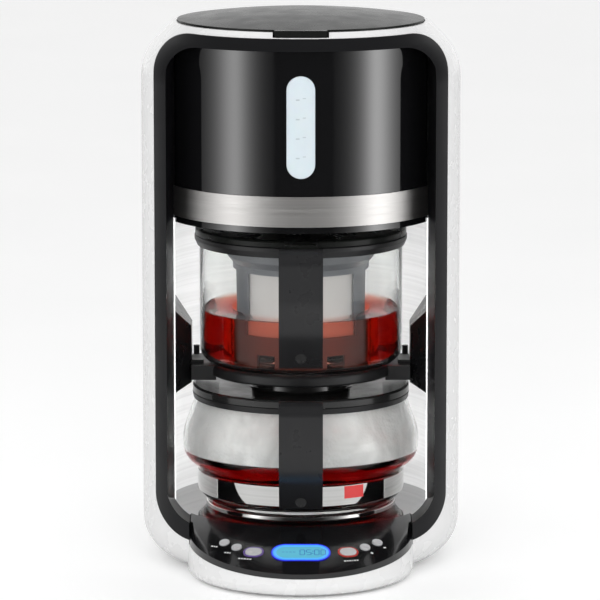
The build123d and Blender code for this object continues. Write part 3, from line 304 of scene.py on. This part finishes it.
def make_finishes(colours):
    """All finishes of the tea maker, by name."""
    white, dark = tuple(colours.housing), tuple(colours.handle_black)
    gloss, frame_dark = tuple(colours.gloss_black), tuple(colours.frame_black)
    MADE.update({
        "pearl": moulded("pearl_white_shell", white, 0.25, 0.29, 0.00001, 700, 0.5, 0.06, vary=0.006),
        "frame": moulded("moulded_black_frame", frame_dark, 0.30, 0.40, 0.00003, 1100, level=0.12),
        "gloss": moulded("piano_black", gloss, 0.05, 0.10, 0.00001, 40, 0.6, 0.02),
        "panel": moulded("panel_black", shade(gloss, 1.3), 0.10, 0.16, 0.00001, 60, 0.4, 0.04),
        "lid": moulded("lid_dark", (0.010, 0.011, 0.010, 1), 0.24, 0.32, 0.00001, 60, level=0.12),
        "jug_lid": moulded("jug_lid_black", (0.014, 0.014, 0.014, 1), 0.14, 0.22, 0.00001, 60),
        "satin": moulded("satin_black", shade(dark, 0.7), 0.34, 0.46, 0.00004, 1500, level=0.35),
        "handle": moulded("handle_black", shade(dark, 1.0), 0.26, 0.34, 0.00003, 1500, level=0.35),
        "cheek": moulded("cheek_black", shade(dark, 0.5), 0.24, 0.34, 0.00003, 1100, level=0.4),
        "band": metal("brushed_band", (0.46, 0.45, 0.44), 0.28, 0.42, (3, 3, 2600), 1.0, 0.00002, 0.6),
        # Painted reflection: the polished steel bay wall gets the near-white of the studio it mirrors as its
        # own colour
        "liner": metal("bay_wall_painted_reflection", (0.95, 0.95, 0.95), 0.30, 0.38, (5, 5, 700), 1.0, 0.00001),
        "chrome": metal("polished_band", (0.63, 0.63, 0.62), 0.03, 0.07, (4, 4, 900), 1.0, 0.000005),
        "steel": metal("plain_steel", (0.62, 0.61, 0.60), 0.25, 0.40, (900, 900, 900), 1.0, 0.00002),
        "aluminium": metal("bare_aluminium", (0.75, 0.76, 0.77), 0.30, 0.45, (600, 600, 40), 1.0, 0.00003),
        "frosted": moulded("frosted_window", (0.70, 0.72, 0.75, 1), 0.40, 0.55, 0.00003, 1400, 0.1),
        "plate": moulded("coated_plate", (0.02, 0.018, 0.018, 1), 0.18, 0.26, 0.00003, 1800),
        "silver": moulded("silver_button", (0.52, 0.52, 0.53, 1), 0.22, 0.32, 0.00002, 1600, 0.4),
        "purple": moulded("purple_ring", (0.16, 0.10, 0.34, 1), 0.20, 0.30, 0.00002, 900, 0.5),
        "red": moulded("red_ring", (0.50, 0.05, 0.04, 1), 0.20, 0.30, 0.00002, 900, 0.5),
        "rubber": moulded("foot_rubber", (0.02, 0.02, 0.02, 1), 0.65, 0.8, 0.0001, 1200),
        "hose": moulded("silicone_hose", (0.62, 0.60, 0.56, 1), 0.40, 0.5, 0.00003, 700),
        "board": moulded("green_board", (0.01, 0.10, 0.04, 1), 0.35, 0.5, 0.00003, 600),
        "tank": moulded("grey_tank", (0.45, 0.48, 0.50, 1), 0.2, 0.3, 0.00003, 300, 0.2),
        "strainer": moulded("smoky_strainer", (0.22, 0.23, 0.25, 1), 0.28, 0.4, 0.00003, 700, 0.2),
        "gauze": woven_mesh("steel_gauze"),
        "seal": moulded("seal_silicone", (0.40, 0.40, 0.38, 1), 0.45, 0.6, 0.00003, 700),
        "marks": moulded("printed_marks", (0.78, 0.78, 0.78, 1), 0.4, 0.5, 0.00001, 900),
        "grey_marks": moulded("etched_marks", (0.50, 0.52, 0.55, 1), 0.5, 0.6, 0.00001, 900),
        "red_mark": moulded("red_mark", (0.75, 0.03, 0.03, 1), 0.3, 0.4, 0.00001, 900, 0.3),
        "glass": clear("clear_glass", (0.97, 0.985, 0.975, 1), 1.25, 0.0),
        "mist": wet_glass("misted_glass"),
        "tea": tea_finish("brewed_tea", tuple(colours.tea)),
        "jug_tea": tea_finish("brewed_tea_in_jug", (0.89, 0.10, 0.12, 1)),
        "display": lit_display("lit_display", tuple(colours.display), display_middle()),
        "digits": glowing("display_digits", (0.02, 0.12, 0.42, 1), 0.15),
    })
    # The bay wall's low metallic keeps its painted white reflection in the base colour
    for name, setting, value in (("liner", "Metallic", 0.15), ("strainer", "Transmission Weight", 0.35),
                                 ("frosted", "Subsurface Weight", 0.2)):
        MADE[name].node_tree.nodes["Principled BSDF"].inputs[setting].default_value = value


def display_middle():
    low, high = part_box("lcd_window")
    return (Vector(low) + Vector(high)) / 2


def dress(finishes):
    """Give each CAD node its finish."""
    for node, finish in finishes.items():
        materials = NODES[node].data.materials
        materials.clear()
        materials.append(MADE[finish])


# ---------------------------------------------------------------- mesh making

def rounded(corners):
    """Profile points from (radius, height[, round]) corners."""
    points = []
    count = len(corners)
    for index, corner in enumerate(corners):
        here = Vector(corner[:2])
        size = corner[2] if len(corner) > 2 else 0
        before, after = Vector(corners[index - 1][:2]), Vector(corners[(index + 1) % count][:2])
        if not size:
            points.append(here)
            continue
        to_before, to_after = (before - here).normalized(), (after - here).normalized()
        half = to_before.angle(to_after) / 2
        reach = size / math.tan(half)
        centre = here + (to_before + to_after).normalized() * size / math.sin(half)
        start = here + to_before * reach - centre
        end = here + to_after * reach - centre
        sweep = start.angle_signed(end)
        for step in range(ROUND_STEPS + 1):
            angle = -sweep * step / ROUND_STEPS
            points.append(centre + Vector((start.x * math.cos(angle) - start.y * math.sin(angle),
                                           start.x * math.sin(angle) + start.y * math.cos(angle))))
    return points


def in_scene(name, made):
    """Turn a bmesh into an object of the scene."""
    mesh = bpy.data.meshes.new(name)
    made.to_mesh(mesh)
    made.free()
    obj = bpy.data.objects.new(name, mesh)
    bpy.context.scene.collection.objects.link(obj)
    return obj


def finished(name, made, finish, body, replaces=(), smooth=True):
    """Turn a bmesh into a piece that rides on a body."""
    bmesh.ops.recalc_face_normals(made, faces=made.faces)
    obj = in_scene(name, made)
    mesh = obj.data
    if smooth:
        mesh.shade_smooth()
        mesh.set_sharp_from_angle(angle=SHARP_ANGLE)
    mesh.materials.append(MADE[finish])
    if replaces:
        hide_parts(*replaces)
    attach(obj, body)
    return obj


def let_light_through(obj):
    """Glass and tea throw no solid shadow on what stands behind them."""
    obj.visible_shadow = obj.visible_diffuse = False


def turned(corners, steps=TURN_STEPS):
    """Closed solid of revolution about the barrel's axis, profile in millimetres."""
    made = bmesh.new()
    rows = []
    for radius, height in rounded(corners):
        if radius < 1e-6:
            rows.append([made.verts.new((0, AXIS_Y, mm(height)))] * steps)
            continue
        rows.append([made.verts.new((mm(radius) * math.cos(2 * math.pi * step / steps),
                                     AXIS_Y + mm(radius) * math.sin(2 * math.pi * step / steps), mm(height)))
                     for step in range(steps)])
    for first, second in zip(rows, rows[1:] + rows[:1]):
        for step in range(steps):
            following = (step + 1) % steps
            ring = []
            for vertex in (first[step], first[following], second[following], second[step]):
                if vertex not in ring:
                    ring.append(vertex)
            if len(ring) > 2:
                made.faces.new(ring)
    return made


def bar(made, place, across, up, outward, size, depth):
    """Thin raised bar on a surface, with a chamfered top edge."""
    half_w, half_h = size[0] / 2, size[1] / 2
    inset = min(half_w, half_h) * 0.25
    corners = []
    for lift, less in ((-depth * 0.2, 0), (depth * 0.6, 0), (depth, inset)):
        corners.append([made.verts.new(place + across * (sx * (half_w - less)) + up * (sy * (half_h - less))
                                       + outward * lift)
                        for sx, sy in ((-1, -1), (1, -1), (1, 1), (-1, 1))])
    made.faces.new(corners[0][::-1])
    made.faces.new(corners[2])
    for low, high in zip(corners, corners[1:]):
        for index in range(4):
            following = (index + 1) % 4
            made.faces.new((low[index], low[following], high[following], high[index]))


def on_cone(out, turn):
    """Place and directions on the conical panel: out from the axis, turned from the front."""
    way = math.radians(turn)
    radial = Vector((math.sin(way), -math.cos(way), 0))
    outward = radial * math.sin(PANEL_SLOPE) + Vector((0, 0, math.cos(PANEL_SLOPE)))
    across = Vector((math.cos(way), math.sin(way), 0))
    height = PANEL_POINT_Z - (out - PANEL_POINT_OUT) * math.tan(PANEL_SLOPE)
    place = Vector((0, AXIS_Y, 0)) + radial * mm(out) + Vector((0, 0, mm(height)))
    return place, across, outward.cross(across), outward


# ---------------------------------------------------------------- the pieces

class TEAMAKER_OT_finishes(bpy.types.Operator):
    """Make every finish of the tea maker"""
    bl_idname = "teamaker.finishes"
    bl_label = "Finishes"

    def execute(self, context):
        make_finishes(context.scene.teamaker_colours)
        return {"FINISHED"}


class TEAMAKER_OT_housing(bpy.types.Operator):
    """Dress the barrel, its front frame, the base and the feet"""
    bl_idname = "teamaker.housing"
    bl_label = "Housing"

    def execute(self, context):
        dress({
            "outer_shell": "pearl", "front_bezel": "frame", "base_plate": "satin", "rubber_feet": "rubber",
            "base_screws": "steel", "cable_gland": "rubber", "top_deck": "satin", "lid_hinge_pins": "steel",
            "circuit_board": "board", "flow_heater": "aluminium", "thermostat": "steel",
            "riser_tube": "hose", "cold_hose": "hose", "drain_solenoid": "steel", "lift_arm": "satin",
            "water_tank": "tank", "spray_head": "satin", "drum_floor": "satin",
        })
        return {"FINISHED"}


LEVEL_FIRST, LEVEL_STEP = 0.20, 0.19        # places of the marks as shares of the window's height
LEVEL_MARK_LIFT = 0.15


class TEAMAKER_OT_head(bpy.types.Operator):
    """Dress the head: gloss cover, brushed band, level window with its marks, and the lid"""
    bl_idname = "teamaker.head"
    bl_label = "Head"

    def execute(self, context):
        dress({"drum_cover": "gloss", "steel_band": "band", "level_window": "frosted", "top_lid": "lid"})
        made = bmesh.new()
        low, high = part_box("level_window")
        across, up, outward = Vector((1, 0, 0)), Vector((0, 0, 1)), Vector((0, -1, 0))
        for index in range(4):
            height = low.z + (high.z - low.z) * (LEVEL_FIRST + LEVEL_STEP * index)
            place = Vector((0, low.y - mm(0.02), height))
            for x, rise, width, tall in ((-2.2, 0, 2.6, 0.9), (2.4, 1.1, 2.2, 0.6)):
                bar(made, place + across * mm(x) + up * mm(rise), across, up, outward,
                    (mm(width), mm(tall)), mm(LEVEL_MARK_LIFT))
        finished("level_marks", made, "grey_marks", "housing", smooth=False)
        return {"FINISHED"}


class TEAMAKER_OT_bay(bpy.types.Operator):
    """Dress the bay: satin wall whose near-white colour is a painted reflection, cheeks, shelf, floor and
    warming plate
    """
    bl_idname = "teamaker.bay"
    bl_label = "Bay"

    def execute(self, context):
        dress({"bay_liner": "liner", "cheek_left": "cheek", "cheek_right": "cheek", "vessel_shelf": "satin",
               "floor_cover": "gloss", "warming_plate": "plate", "plate_ring": "chrome"})
        return {"FINISHED"}


class TEAMAKER_OT_panel(bpy.types.Operator):
    """Dress the control panel: display with digits, buttons, rings and their marks"""
    bl_idname = "teamaker.panel"
    bl_label = "Control panel"

    digit_bars = {"0": "abcdef", "5": "acdfg"}
    label_gap, label_tall, label_lift = 0.55, 1.3, 0.12
    digit_tall, digit_wide, digit_thick, digit_lift = 3.1, 3.2, 0.55, 0.06

    def execute(self, context):
        dress({"control_panel": "panel", "lcd_window": "display", "ring_left_oval": "purple",
               "ring_right_oval": "red"})
        dress({f"button_{side}_{kind}": "silver" for side in ("left", "right")
               for kind in ("outer", "inner", "oval")})
        self.labels()
        self.digits()
        return {"FINISHED"}

    def labels(self):
        made = bmesh.new()
        rows = ((121.4, -30.3, (1.5, 1.0, 1.4)), (126.7, -24.1, (1.2, 1.5, 0.9)),
                (131.9, -17.4, (1.6, 1.2, 1.8, 1.4, 1.5)), (133.5, 15.4, (1.4, 1.1, 1.6, 0.8, 1.5, 1.2)),
                (126.8, 23.3, (1.9,)), (122.4, 29.0, (1.9,)))
        for out, turn, widths in rows:
            place, across, up, outward = on_cone(out, turn)
            total = sum(widths) + self.label_gap * (len(widths) - 1)
            x = -total / 2
            for width in widths:
                bar(made, place + across * mm(x + width / 2), across, up, outward,
                    (mm(width), mm(self.label_tall)), mm(self.label_lift))
                x += width + self.label_gap
        place, across, up, outward = on_cone(126.8, 23.3)
        bar(made, place, across, up, outward, (mm(0.7), mm(2.4)), mm(self.label_lift))
        finished("panel_marks", made, "marks", "housing", smooth=False)

    def digits(self):
        made = bmesh.new()
        place, across, up, outward = on_cone(122.5, 0)
        place = place + outward * mm(0.3)
        bars = {"a": (0, 1, True), "b": (0.5, 0.5, False), "c": (0.5, -0.5, False), "d": (0, -1, True),
                "e": (-0.5, -0.5, False), "f": (-0.5, 0.5, False), "g": (0, 0, True)}
        tall, wide, thick, lift = self.digit_tall, self.digit_wide, self.digit_thick, mm(self.digit_lift)
        for text, x in (("0", 1.0), ("5", 5.6), ("0", 11.2), ("0", 15.8)):
            for letter in self.digit_bars[text]:
                dx, dy, flat = bars[letter]
                size = (mm(wide - 0.4), mm(thick)) if flat else (mm(thick), mm(tall - 0.4))
                at = place + across * mm(x + dx * wide) + up * mm(dy * tall)
                bar(made, at, across, up, outward, size, lift)
        for dy in (1.2, -1.2):
            bar(made, place + across * mm(8.4) + up * mm(dy), across, up, outward, (mm(0.7), mm(0.7)), lift)
        for index in range(4):
            bar(made, place + across * mm(-12.5 + index * 2.6) + up * mm(0.4), across, up, outward,
                (mm(1.7), mm(0.5)), lift)
        finished("display_digits", made, "digits", "housing", smooth=False)


TEA_GAP = 0.15          # between the tea and the glass, in millimetres
VESSEL_Z, VESSEL_H, VESSEL_R, VESSEL_WALL, VESSEL_FLOOR = 144.0, 89.6, 73.5, 2.4, 3.0
VALVE_R, VALVE_RISE = 8.0, 5        # hole in the glass for the valve, and how far its seat is raised
VESSEL_TEA_R = 50.2                 # the tea is drawn from the strainer outwards


class TEAMAKER_OT_brewing_vessel(bpy.types.Operator):
    """Blow the brewing glass and dress its rim, handle, lid, strainer and valve"""
    bl_idname = "teamaker.brewing_vessel"
    bl_label = "Brewing vessel"

    def execute(self, context):
        z, top, floor = VESSEL_Z, VESSEL_Z + VESSEL_H, VESSEL_Z + VESSEL_FLOOR
        inner = VESSEL_R - VESSEL_WALL
        glass = turned([(VALVE_R, z + VALVE_RISE), (34, z + VALVE_RISE, 2), (38, z, 2), (VESSEL_R, z, 11),
                        (VESSEL_R, top, 1), (inner, top, 1), (inner, floor, 8.6), (40, floor, 2),
                        (36, floor + VALVE_RISE, 2), (VALVE_R, floor + VALVE_RISE)])
        let_light_through(finished("brewing_glass", glass, "glass", "brew_vessel", ["brew_glass"]))
        level = floor + context.scene.teamaker_sizes.vessel_level * 1000
        side = inner - TEA_GAP
        tea = turned([(VESSEL_TEA_R, floor + 0.2), (side, floor + 0.2, 8.4), (side, level),
                      (side - 1.4, level - 0.7), (VESSEL_TEA_R, level - 0.7)])
        let_light_through(finished("vessel_tea", tea, "tea", "brew_vessel"))
        # The brew screw's head is real; its darkest-black tone is painted shade of the hole it sits in
        dress({"brew_collar": "satin", "brew_handle": "handle", "brew_screw": "cheek",
               "brew_hinge_pin": "steel", "strainer_frame": "strainer", "strainer_mesh": "gauze",
               "valve_seat": "satin", "valve_stem": "seal", "brew_lid": "lid"})
        return {"FINISHED"}


JUG_Z, JUG_H, JUG_WALL = 42.6, 78.4, 2.3
JUG_FOOT_R, JUG_WAIST_R, JUG_BULGE_R, JUG_NECK_R = 68, 74.3, 85.9, 77.0
WAIST_LOW, WAIST_TOP, BULGE_LOW, BULGE_TOP = 7.4, 24, 33.5, 50     # heights above the jug's foot
TEA_BULGE_R, TEA_EDGE_R = 85.75, 84.6   # the tea's radii before its gap: below its surface, and at its edge
MIST_T = 0.12
PATCH_LOW, PATCH_TOP = 55.2, 64.2       # heights of the patch on the band
PATCH_START, PATCH_END = 24.5, 36.5     # turned from the front, in degrees
PATCH_SINK, PATCH_LIFT, PATCH_STEPS = 0.05, 0.12, 12


class TEAMAKER_OT_serving_jug(bpy.types.Operator):
    """Blow the serving jug and dress its band, rim, handle and lid"""
    bl_idname = "teamaker.serving_jug"
    bl_label = "Serving jug"

    def execute(self, context):
        z = JUG_Z
        body = [(JUG_WAIST_R, z + WAIST_LOW, 5), (JUG_WAIST_R, z + WAIST_TOP, 4),
                (JUG_BULGE_R, z + BULGE_LOW, 14), (JUG_BULGE_R, z + BULGE_TOP, 30),
                (JUG_NECK_R, z + JUG_H - 3.5, 6), (JUG_NECK_R, z + JUG_H)]
        inner = [(corner[0] - JUG_WALL,) + corner[1:] for corner in reversed(body)]
        floor = z + JUG_WALL + 0.7
        glass = turned([(0, z), (JUG_FOOT_R, z, 3)] + body + inner
                       + [(JUG_FOOT_R - JUG_WALL, floor, 3), (0, floor)], JUG_STEPS)
        let_light_through(finished("jug_glass_body", glass, "glass", "serving_jug", ["jug_glass"]))
        level = floor + context.scene.teamaker_sizes.jug_level * 1000
        gap = JUG_WALL + TEA_GAP
        tea = turned([(0, floor + 0.2), (JUG_FOOT_R - gap, floor + 0.2, 3), (JUG_WAIST_R - gap, z + 7.5, 5),
                      (JUG_WAIST_R - gap, z + WAIST_TOP, 4),
                      (TEA_BULGE_R - gap, z + 33.4, 14 if level > z + 48 else 0.5),
                      (TEA_BULGE_R - gap, level), (TEA_EDGE_R - gap, level - 0.6),
                      (0, level - 0.6)], JUG_STEPS)
        let_light_through(finished("jug_tea", tea, "jug_tea", "serving_jug"))
        outside = [(JUG_BULGE_R - gap, level + 0.5), (JUG_BULGE_R - gap, z + BULGE_TOP, 28),
                   (JUG_NECK_R - gap, z + JUG_H - 4, 6), (JUG_NECK_R - gap, z + JUG_H - 0.5)]
        inside = [(corner[0] - MIST_T,) + corner[1:] for corner in reversed(outside)]
        mist = turned(outside + inside, JUG_STEPS)
        let_light_through(finished("jug_mist", mist, "mist", "serving_jug"))
        # The jug screw's head is real; its darkest-black tone is painted shade of the hole it sits in
        dress({"jug_band": "chrome", "jug_collar": "satin", "jug_handle": "handle", "jug_screw": "cheek",
               "jug_hinge_pin": "steel", "jug_lid": "jug_lid"})
        self.patch()
        return {"FINISHED"}

    def patch(self):
        """Plain red patch printed on the jug's band, right of the front."""
        low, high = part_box("jug_band")
        radius = (high.x - low.x) / 2
        made = bmesh.new()
        start, end = math.radians(PATCH_START), math.radians(PATCH_END)
        inner, outer = radius - mm(PATCH_SINK), radius + mm(PATCH_LIFT)
        rows = []
        for step in range(PATCH_STEPS + 1):
            way = start + (end - start) * step / PATCH_STEPS
            rows.append([made.verts.new((reach * math.sin(way), AXIS_Y - reach * math.cos(way), mm(height)))
                         for reach, height in ((inner, PATCH_LOW), (outer, PATCH_LOW), (outer, PATCH_TOP),
                                               (inner, PATCH_TOP))])
        for first, second in zip(rows, rows[1:]):
            for index in range(4):
                following = (index + 1) % 4
                made.faces.new((first[index], second[index], second[following], first[following]))
        made.faces.new(rows[0])
        made.faces.new(rows[-1][::-1])
        finished("jug_patch", made, "red_mark", "serving_jug")


# ---------------------------------------------------------------- studio

ROOM_GLOSS = 0.04       # what glossy pieces see of the room behind the camera
ROOM_LIGHT = 0.78       # even light from all round
CEILING_GLOSS = 0.24    # what glossy pieces see overhead
FLOOR_GLOW = 0.20       # what the camera sees the floor give off; more than this hides the shadow

# Two graded cards before the object, seen by glossy rays only. Angles are in degrees from the front.
CARD_R, CARD_LOW, CARD_H, CARD_REACH, CARD_STEPS = 1.3, 0.004, 0.42, 112, 48
CARD_STOP, CARD_FADE, CARD_DARK = 98, 5, 0.01       # outer end, softness of both ends, glow past them
CARD_STRENGTH = 5.0
FALL_FRONT, FALL_BACK = 8.5, 10.5                   # how fast the glow falls from the middle to each end
LEFT_CARD = {"side": -1, "start": 18, "middle": 56, "peak": 0.76}
RIGHT_CARD = {"side": 1, "start": 23, "middle": 65, "peak": 1.0}

FOCAL, PICTURE, SCALE = 4170, 600, 1376     # pixels: focal length, picture width, one metre at the axis
SENSOR = 36
CAMERA_PITCH, CAMERA_AIM = 0.164, Vector((-0.0006, AXIS_Y, 0.188))


def lamp(name, place, aim, size, power):
    """Soft rectangular lamp that isn't itself seen in glossy pieces."""
    data = bpy.data.lights.new(name, "AREA")
    data.shape, data.size, data.size_y = "RECTANGLE", size[0], size[1]
    data.energy = power
    obj = bpy.data.objects.new(name, data)
    obj.location = place
    obj.rotation_euler = (Vector(aim) - Vector(place)).to_track_quat("-Z", "Y").to_euler()
    obj.visible_glossy = False
    bpy.context.scene.collection.objects.link(obj)
    return obj


class TEAMAKER_OT_studio(bpy.types.Operator):
    """Set the pale floor, the white surroundings, the soft lamps and the camera"""
    bl_idname = "teamaker.studio"
    bl_label = "Studio"

    def execute(self, context):
        context.scene.view_settings.view_transform = "Standard"
        self.floor()
        self.world()
        self.reflectors()
        self.lamps()
        self.camera()
        return {"FINISHED"}

    def floor(self):
        made = bmesh.new()
        bmesh.ops.create_grid(made, x_segments=4, y_segments=4, size=6)
        obj = in_scene("studio_floor", made)
        surface = Finish("studio_paper").set(emission_color=(1, 1, 1, 1))
        surface.rough(surface.noise(20, 3), 0.6, 0.75)
        surface.tint(surface.noise(4, 2), (0.90, 0.90, 0.90, 1), (0.92, 0.92, 0.92, 1))
        seen = surface.add("ShaderNodeLightPath").outputs["Is Camera Ray"]
        surface.link(surface.maths("MULTIPLY", seen, FLOOR_GLOW), surface.shader.inputs["Emission Strength"])
        obj.data.materials.append(surface.material)

    def world(self):
        """White for the camera and behind the object, a dark room behind the camera for glossy pieces."""
        world = bpy.data.worlds.new("studio_surroundings")
        bpy.context.scene.world = world
        world.use_nodes = True
        tree = world.node_tree
        back = tree.nodes["Background"]
        back.inputs["Color"].default_value = (1, 1, 1, 1)
        paths = tree.nodes.new("ShaderNodeLightPath")
        way = tree.nodes.new("ShaderNodeTexCoord")
        split = tree.nodes.new("ShaderNodeSeparateXYZ")
        tree.links.new(way.outputs["Generated"], split.inputs["Vector"])
        parts = []
        for axis, start, end, low, high in (("Y", 0.50, 0.90, ROOM_GLOSS, 1.0),
                                            ("Z", 0.30, 0.75, 0.0, CEILING_GLOSS)):
            part = tree.nodes.new("ShaderNodeMapRange")
            part.interpolation_type = "SMOOTHSTEP"
            for key, number in (("From Min", start), ("From Max", end), ("To Min", low), ("To Max", high)):
                part.inputs[key].default_value = number
            tree.links.new(split.outputs[axis], part.inputs["Value"])
            parts.append(part)
        behind = tree.nodes.new("ShaderNodeMath")
        behind.operation = "MAXIMUM"
        for index, part in enumerate(parts):
            tree.links.new(part.outputs["Result"], behind.inputs[index])
        seen = tree.nodes.new("ShaderNodeMath")
        seen.operation = "MAXIMUM"
        tree.links.new(paths.outputs["Is Camera Ray"], seen.inputs[0])
        tree.links.new(paths.outputs["Is Transmission Ray"], seen.inputs[1])
        mirrored, shown = tree.nodes.new("ShaderNodeMix"), tree.nodes.new("ShaderNodeMix")
        mirrored.inputs["A"].default_value = ROOM_LIGHT
        tree.links.new(behind.outputs["Value"], mirrored.inputs["B"])
        tree.links.new(paths.outputs["Is Glossy Ray"], mirrored.inputs["Factor"])
        tree.links.new(mirrored.outputs["Result"], shown.inputs["A"])
        shown.inputs["B"].default_value = 1.0
        tree.links.new(seen.outputs["Value"], shown.inputs["Factor"])
        tree.links.new(shown.outputs["Result"], back.inputs["Strength"])

    def reflectors(self):
        """The two graded cards, dark between them."""
        for card in (LEFT_CARD, RIGHT_CARD):
            made = bmesh.new()
            rows = []
            for step in range(CARD_STEPS + 1):
                angle = math.radians(CARD_REACH * step / CARD_STEPS)
                x, y = card["side"] * CARD_R * math.sin(angle), AXIS_Y - CARD_R * math.cos(angle)
                rows.append([made.verts.new((x, y, CARD_LOW + lift)) for lift in (0, CARD_H)])
            for first, second in zip(rows, rows[1:]):
                made.faces.new((first[0], second[0], second[1], first[1]))
            obj = in_scene("reflector", made)
            obj.data.materials.append(self.graded(card))
            obj.visible_camera = obj.visible_diffuse = obj.visible_transmission = False
            obj.visible_shadow = obj.visible_volume_scatter = False

    def graded(self, card):
        """Emission that is strongest in the card's middle and fades to both ends."""
        made = Finish("graded_reflector")
        maths, parts = made.maths, made.parts()
        way = maths("ARCTAN2", maths("ABSOLUTE", parts["X"]), maths("SUBTRACT", AXIS_Y, parts["Y"]))
        angle = maths("DEGREES", way)
        off = maths("SUBTRACT", angle, card["middle"])
        fall = maths("MAXIMUM", maths("DIVIDE", off, -FALL_FRONT), maths("DIVIDE", off, FALL_BACK))
        glow = maths("DIVIDE", card["peak"], maths("COSH", fall))
        inside = maths("MINIMUM", maths("SUBTRACT", angle, card["start"]), maths("SUBTRACT", CARD_STOP, angle))
        ends = maths("MAXIMUM", maths("MINIMUM", maths("DIVIDE", inside, CARD_FADE), 1), 0)
        shine = made.add("ShaderNodeEmission")
        shine.inputs["Strength"].default_value = CARD_STRENGTH
        made.link(maths("MAXIMUM", maths("MULTIPLY", glow, ends), CARD_DARK), shine.inputs["Color"])
        made.link(shine.outputs["Emission"], made.output.inputs["Surface"])
        return made.material

    def lamps(self):
        wall = bpy.data.collections.new("bay_wall_only")
        wall.objects.link(NODES["bay_liner"])
        for side in (-1, 1):
            lamp("side_softbox", (side * 1.20, -0.25, 0.62), (0, -0.02, 0.25), (0.9, 1.2), 1.8)
            lamp("front_softbox", (side * 0.35, -1.80, 0.55), (0, 0, 0.22), (0.5, 0.8), 5)
            fill = lamp("bay_softbox", (side * 1.0, -1.2, 0.30), (0, 0.05, 0.18), (0.9, 0.7), 26)
            fill.light_linking.receiver_collection = wall
            fill.light_linking.blocker_collection = wall
        lamp("top_softbox", (0, -0.5, 1.9), (0, 0, 0.3), (1.8, 1.4), 3)

    def camera(self):
        data = bpy.data.cameras.new("front_camera")
        data.sensor_width, data.lens = SENSOR, SENSOR * FOCAL / PICTURE
        data.clip_start, data.clip_end = 0.05, 50
        obj = bpy.data.objects.new("front_camera", data)
        bpy.context.scene.collection.objects.link(obj)
        ahead = Vector((0, math.cos(CAMERA_PITCH), -math.sin(CAMERA_PITCH)))
        obj.location = CAMERA_AIM - ahead * (FOCAL / SCALE)
        obj.rotation_euler = ahead.to_track_quat("-Z", "Y").to_euler()
        bpy.context.scene.camera = obj


class TEAMAKER_PT_panel(bpy.types.Panel):
    """Buttons and settings of the tea maker"""
    bl_label = "Tea maker"
    bl_idname = "TEAMAKER_PT_panel"
    bl_space_type = "VIEW_3D"
    bl_region_type = "UI"
    bl_category = "Tea maker"

    def draw(self, context):
        for group in (context.scene.teamaker_colours, context.scene.teamaker_sizes):
            for key in group.bl_rna.properties.keys():
                if key not in ("rna_type", "name"):
                    self.layout.prop(group, key)
        for operator in OPERATORS:
            self.layout.operator(operator.bl_idname)


OPERATORS = (TEAMAKER_OT_finishes, TEAMAKER_OT_housing, TEAMAKER_OT_head, TEAMAKER_OT_bay, TEAMAKER_OT_panel,
             TEAMAKER_OT_brewing_vessel, TEAMAKER_OT_serving_jug, TEAMAKER_OT_studio)
CLASSES = (TeaMakerColours, TeaMakerSizes) + OPERATORS + (TEAMAKER_PT_panel,)


def register():
    for item in CLASSES:
        bpy.utils.register_class(item)
    bpy.types.Scene.teamaker_colours = bpy.props.PointerProperty(type=TeaMakerColours)
    bpy.types.Scene.teamaker_sizes = bpy.props.PointerProperty(type=TeaMakerSizes)


def unregister():
    del bpy.types.Scene.teamaker_colours
    del bpy.types.Scene.teamaker_sizes
    for item in reversed(CLASSES):
        bpy.utils.unregister_class(item)


def main():
    register()
    for operator in OPERATORS:
        group, name = operator.bl_idname.split(".")
        getattr(getattr(bpy.ops, group), name)()


if __name__ == "__main__":
    main()
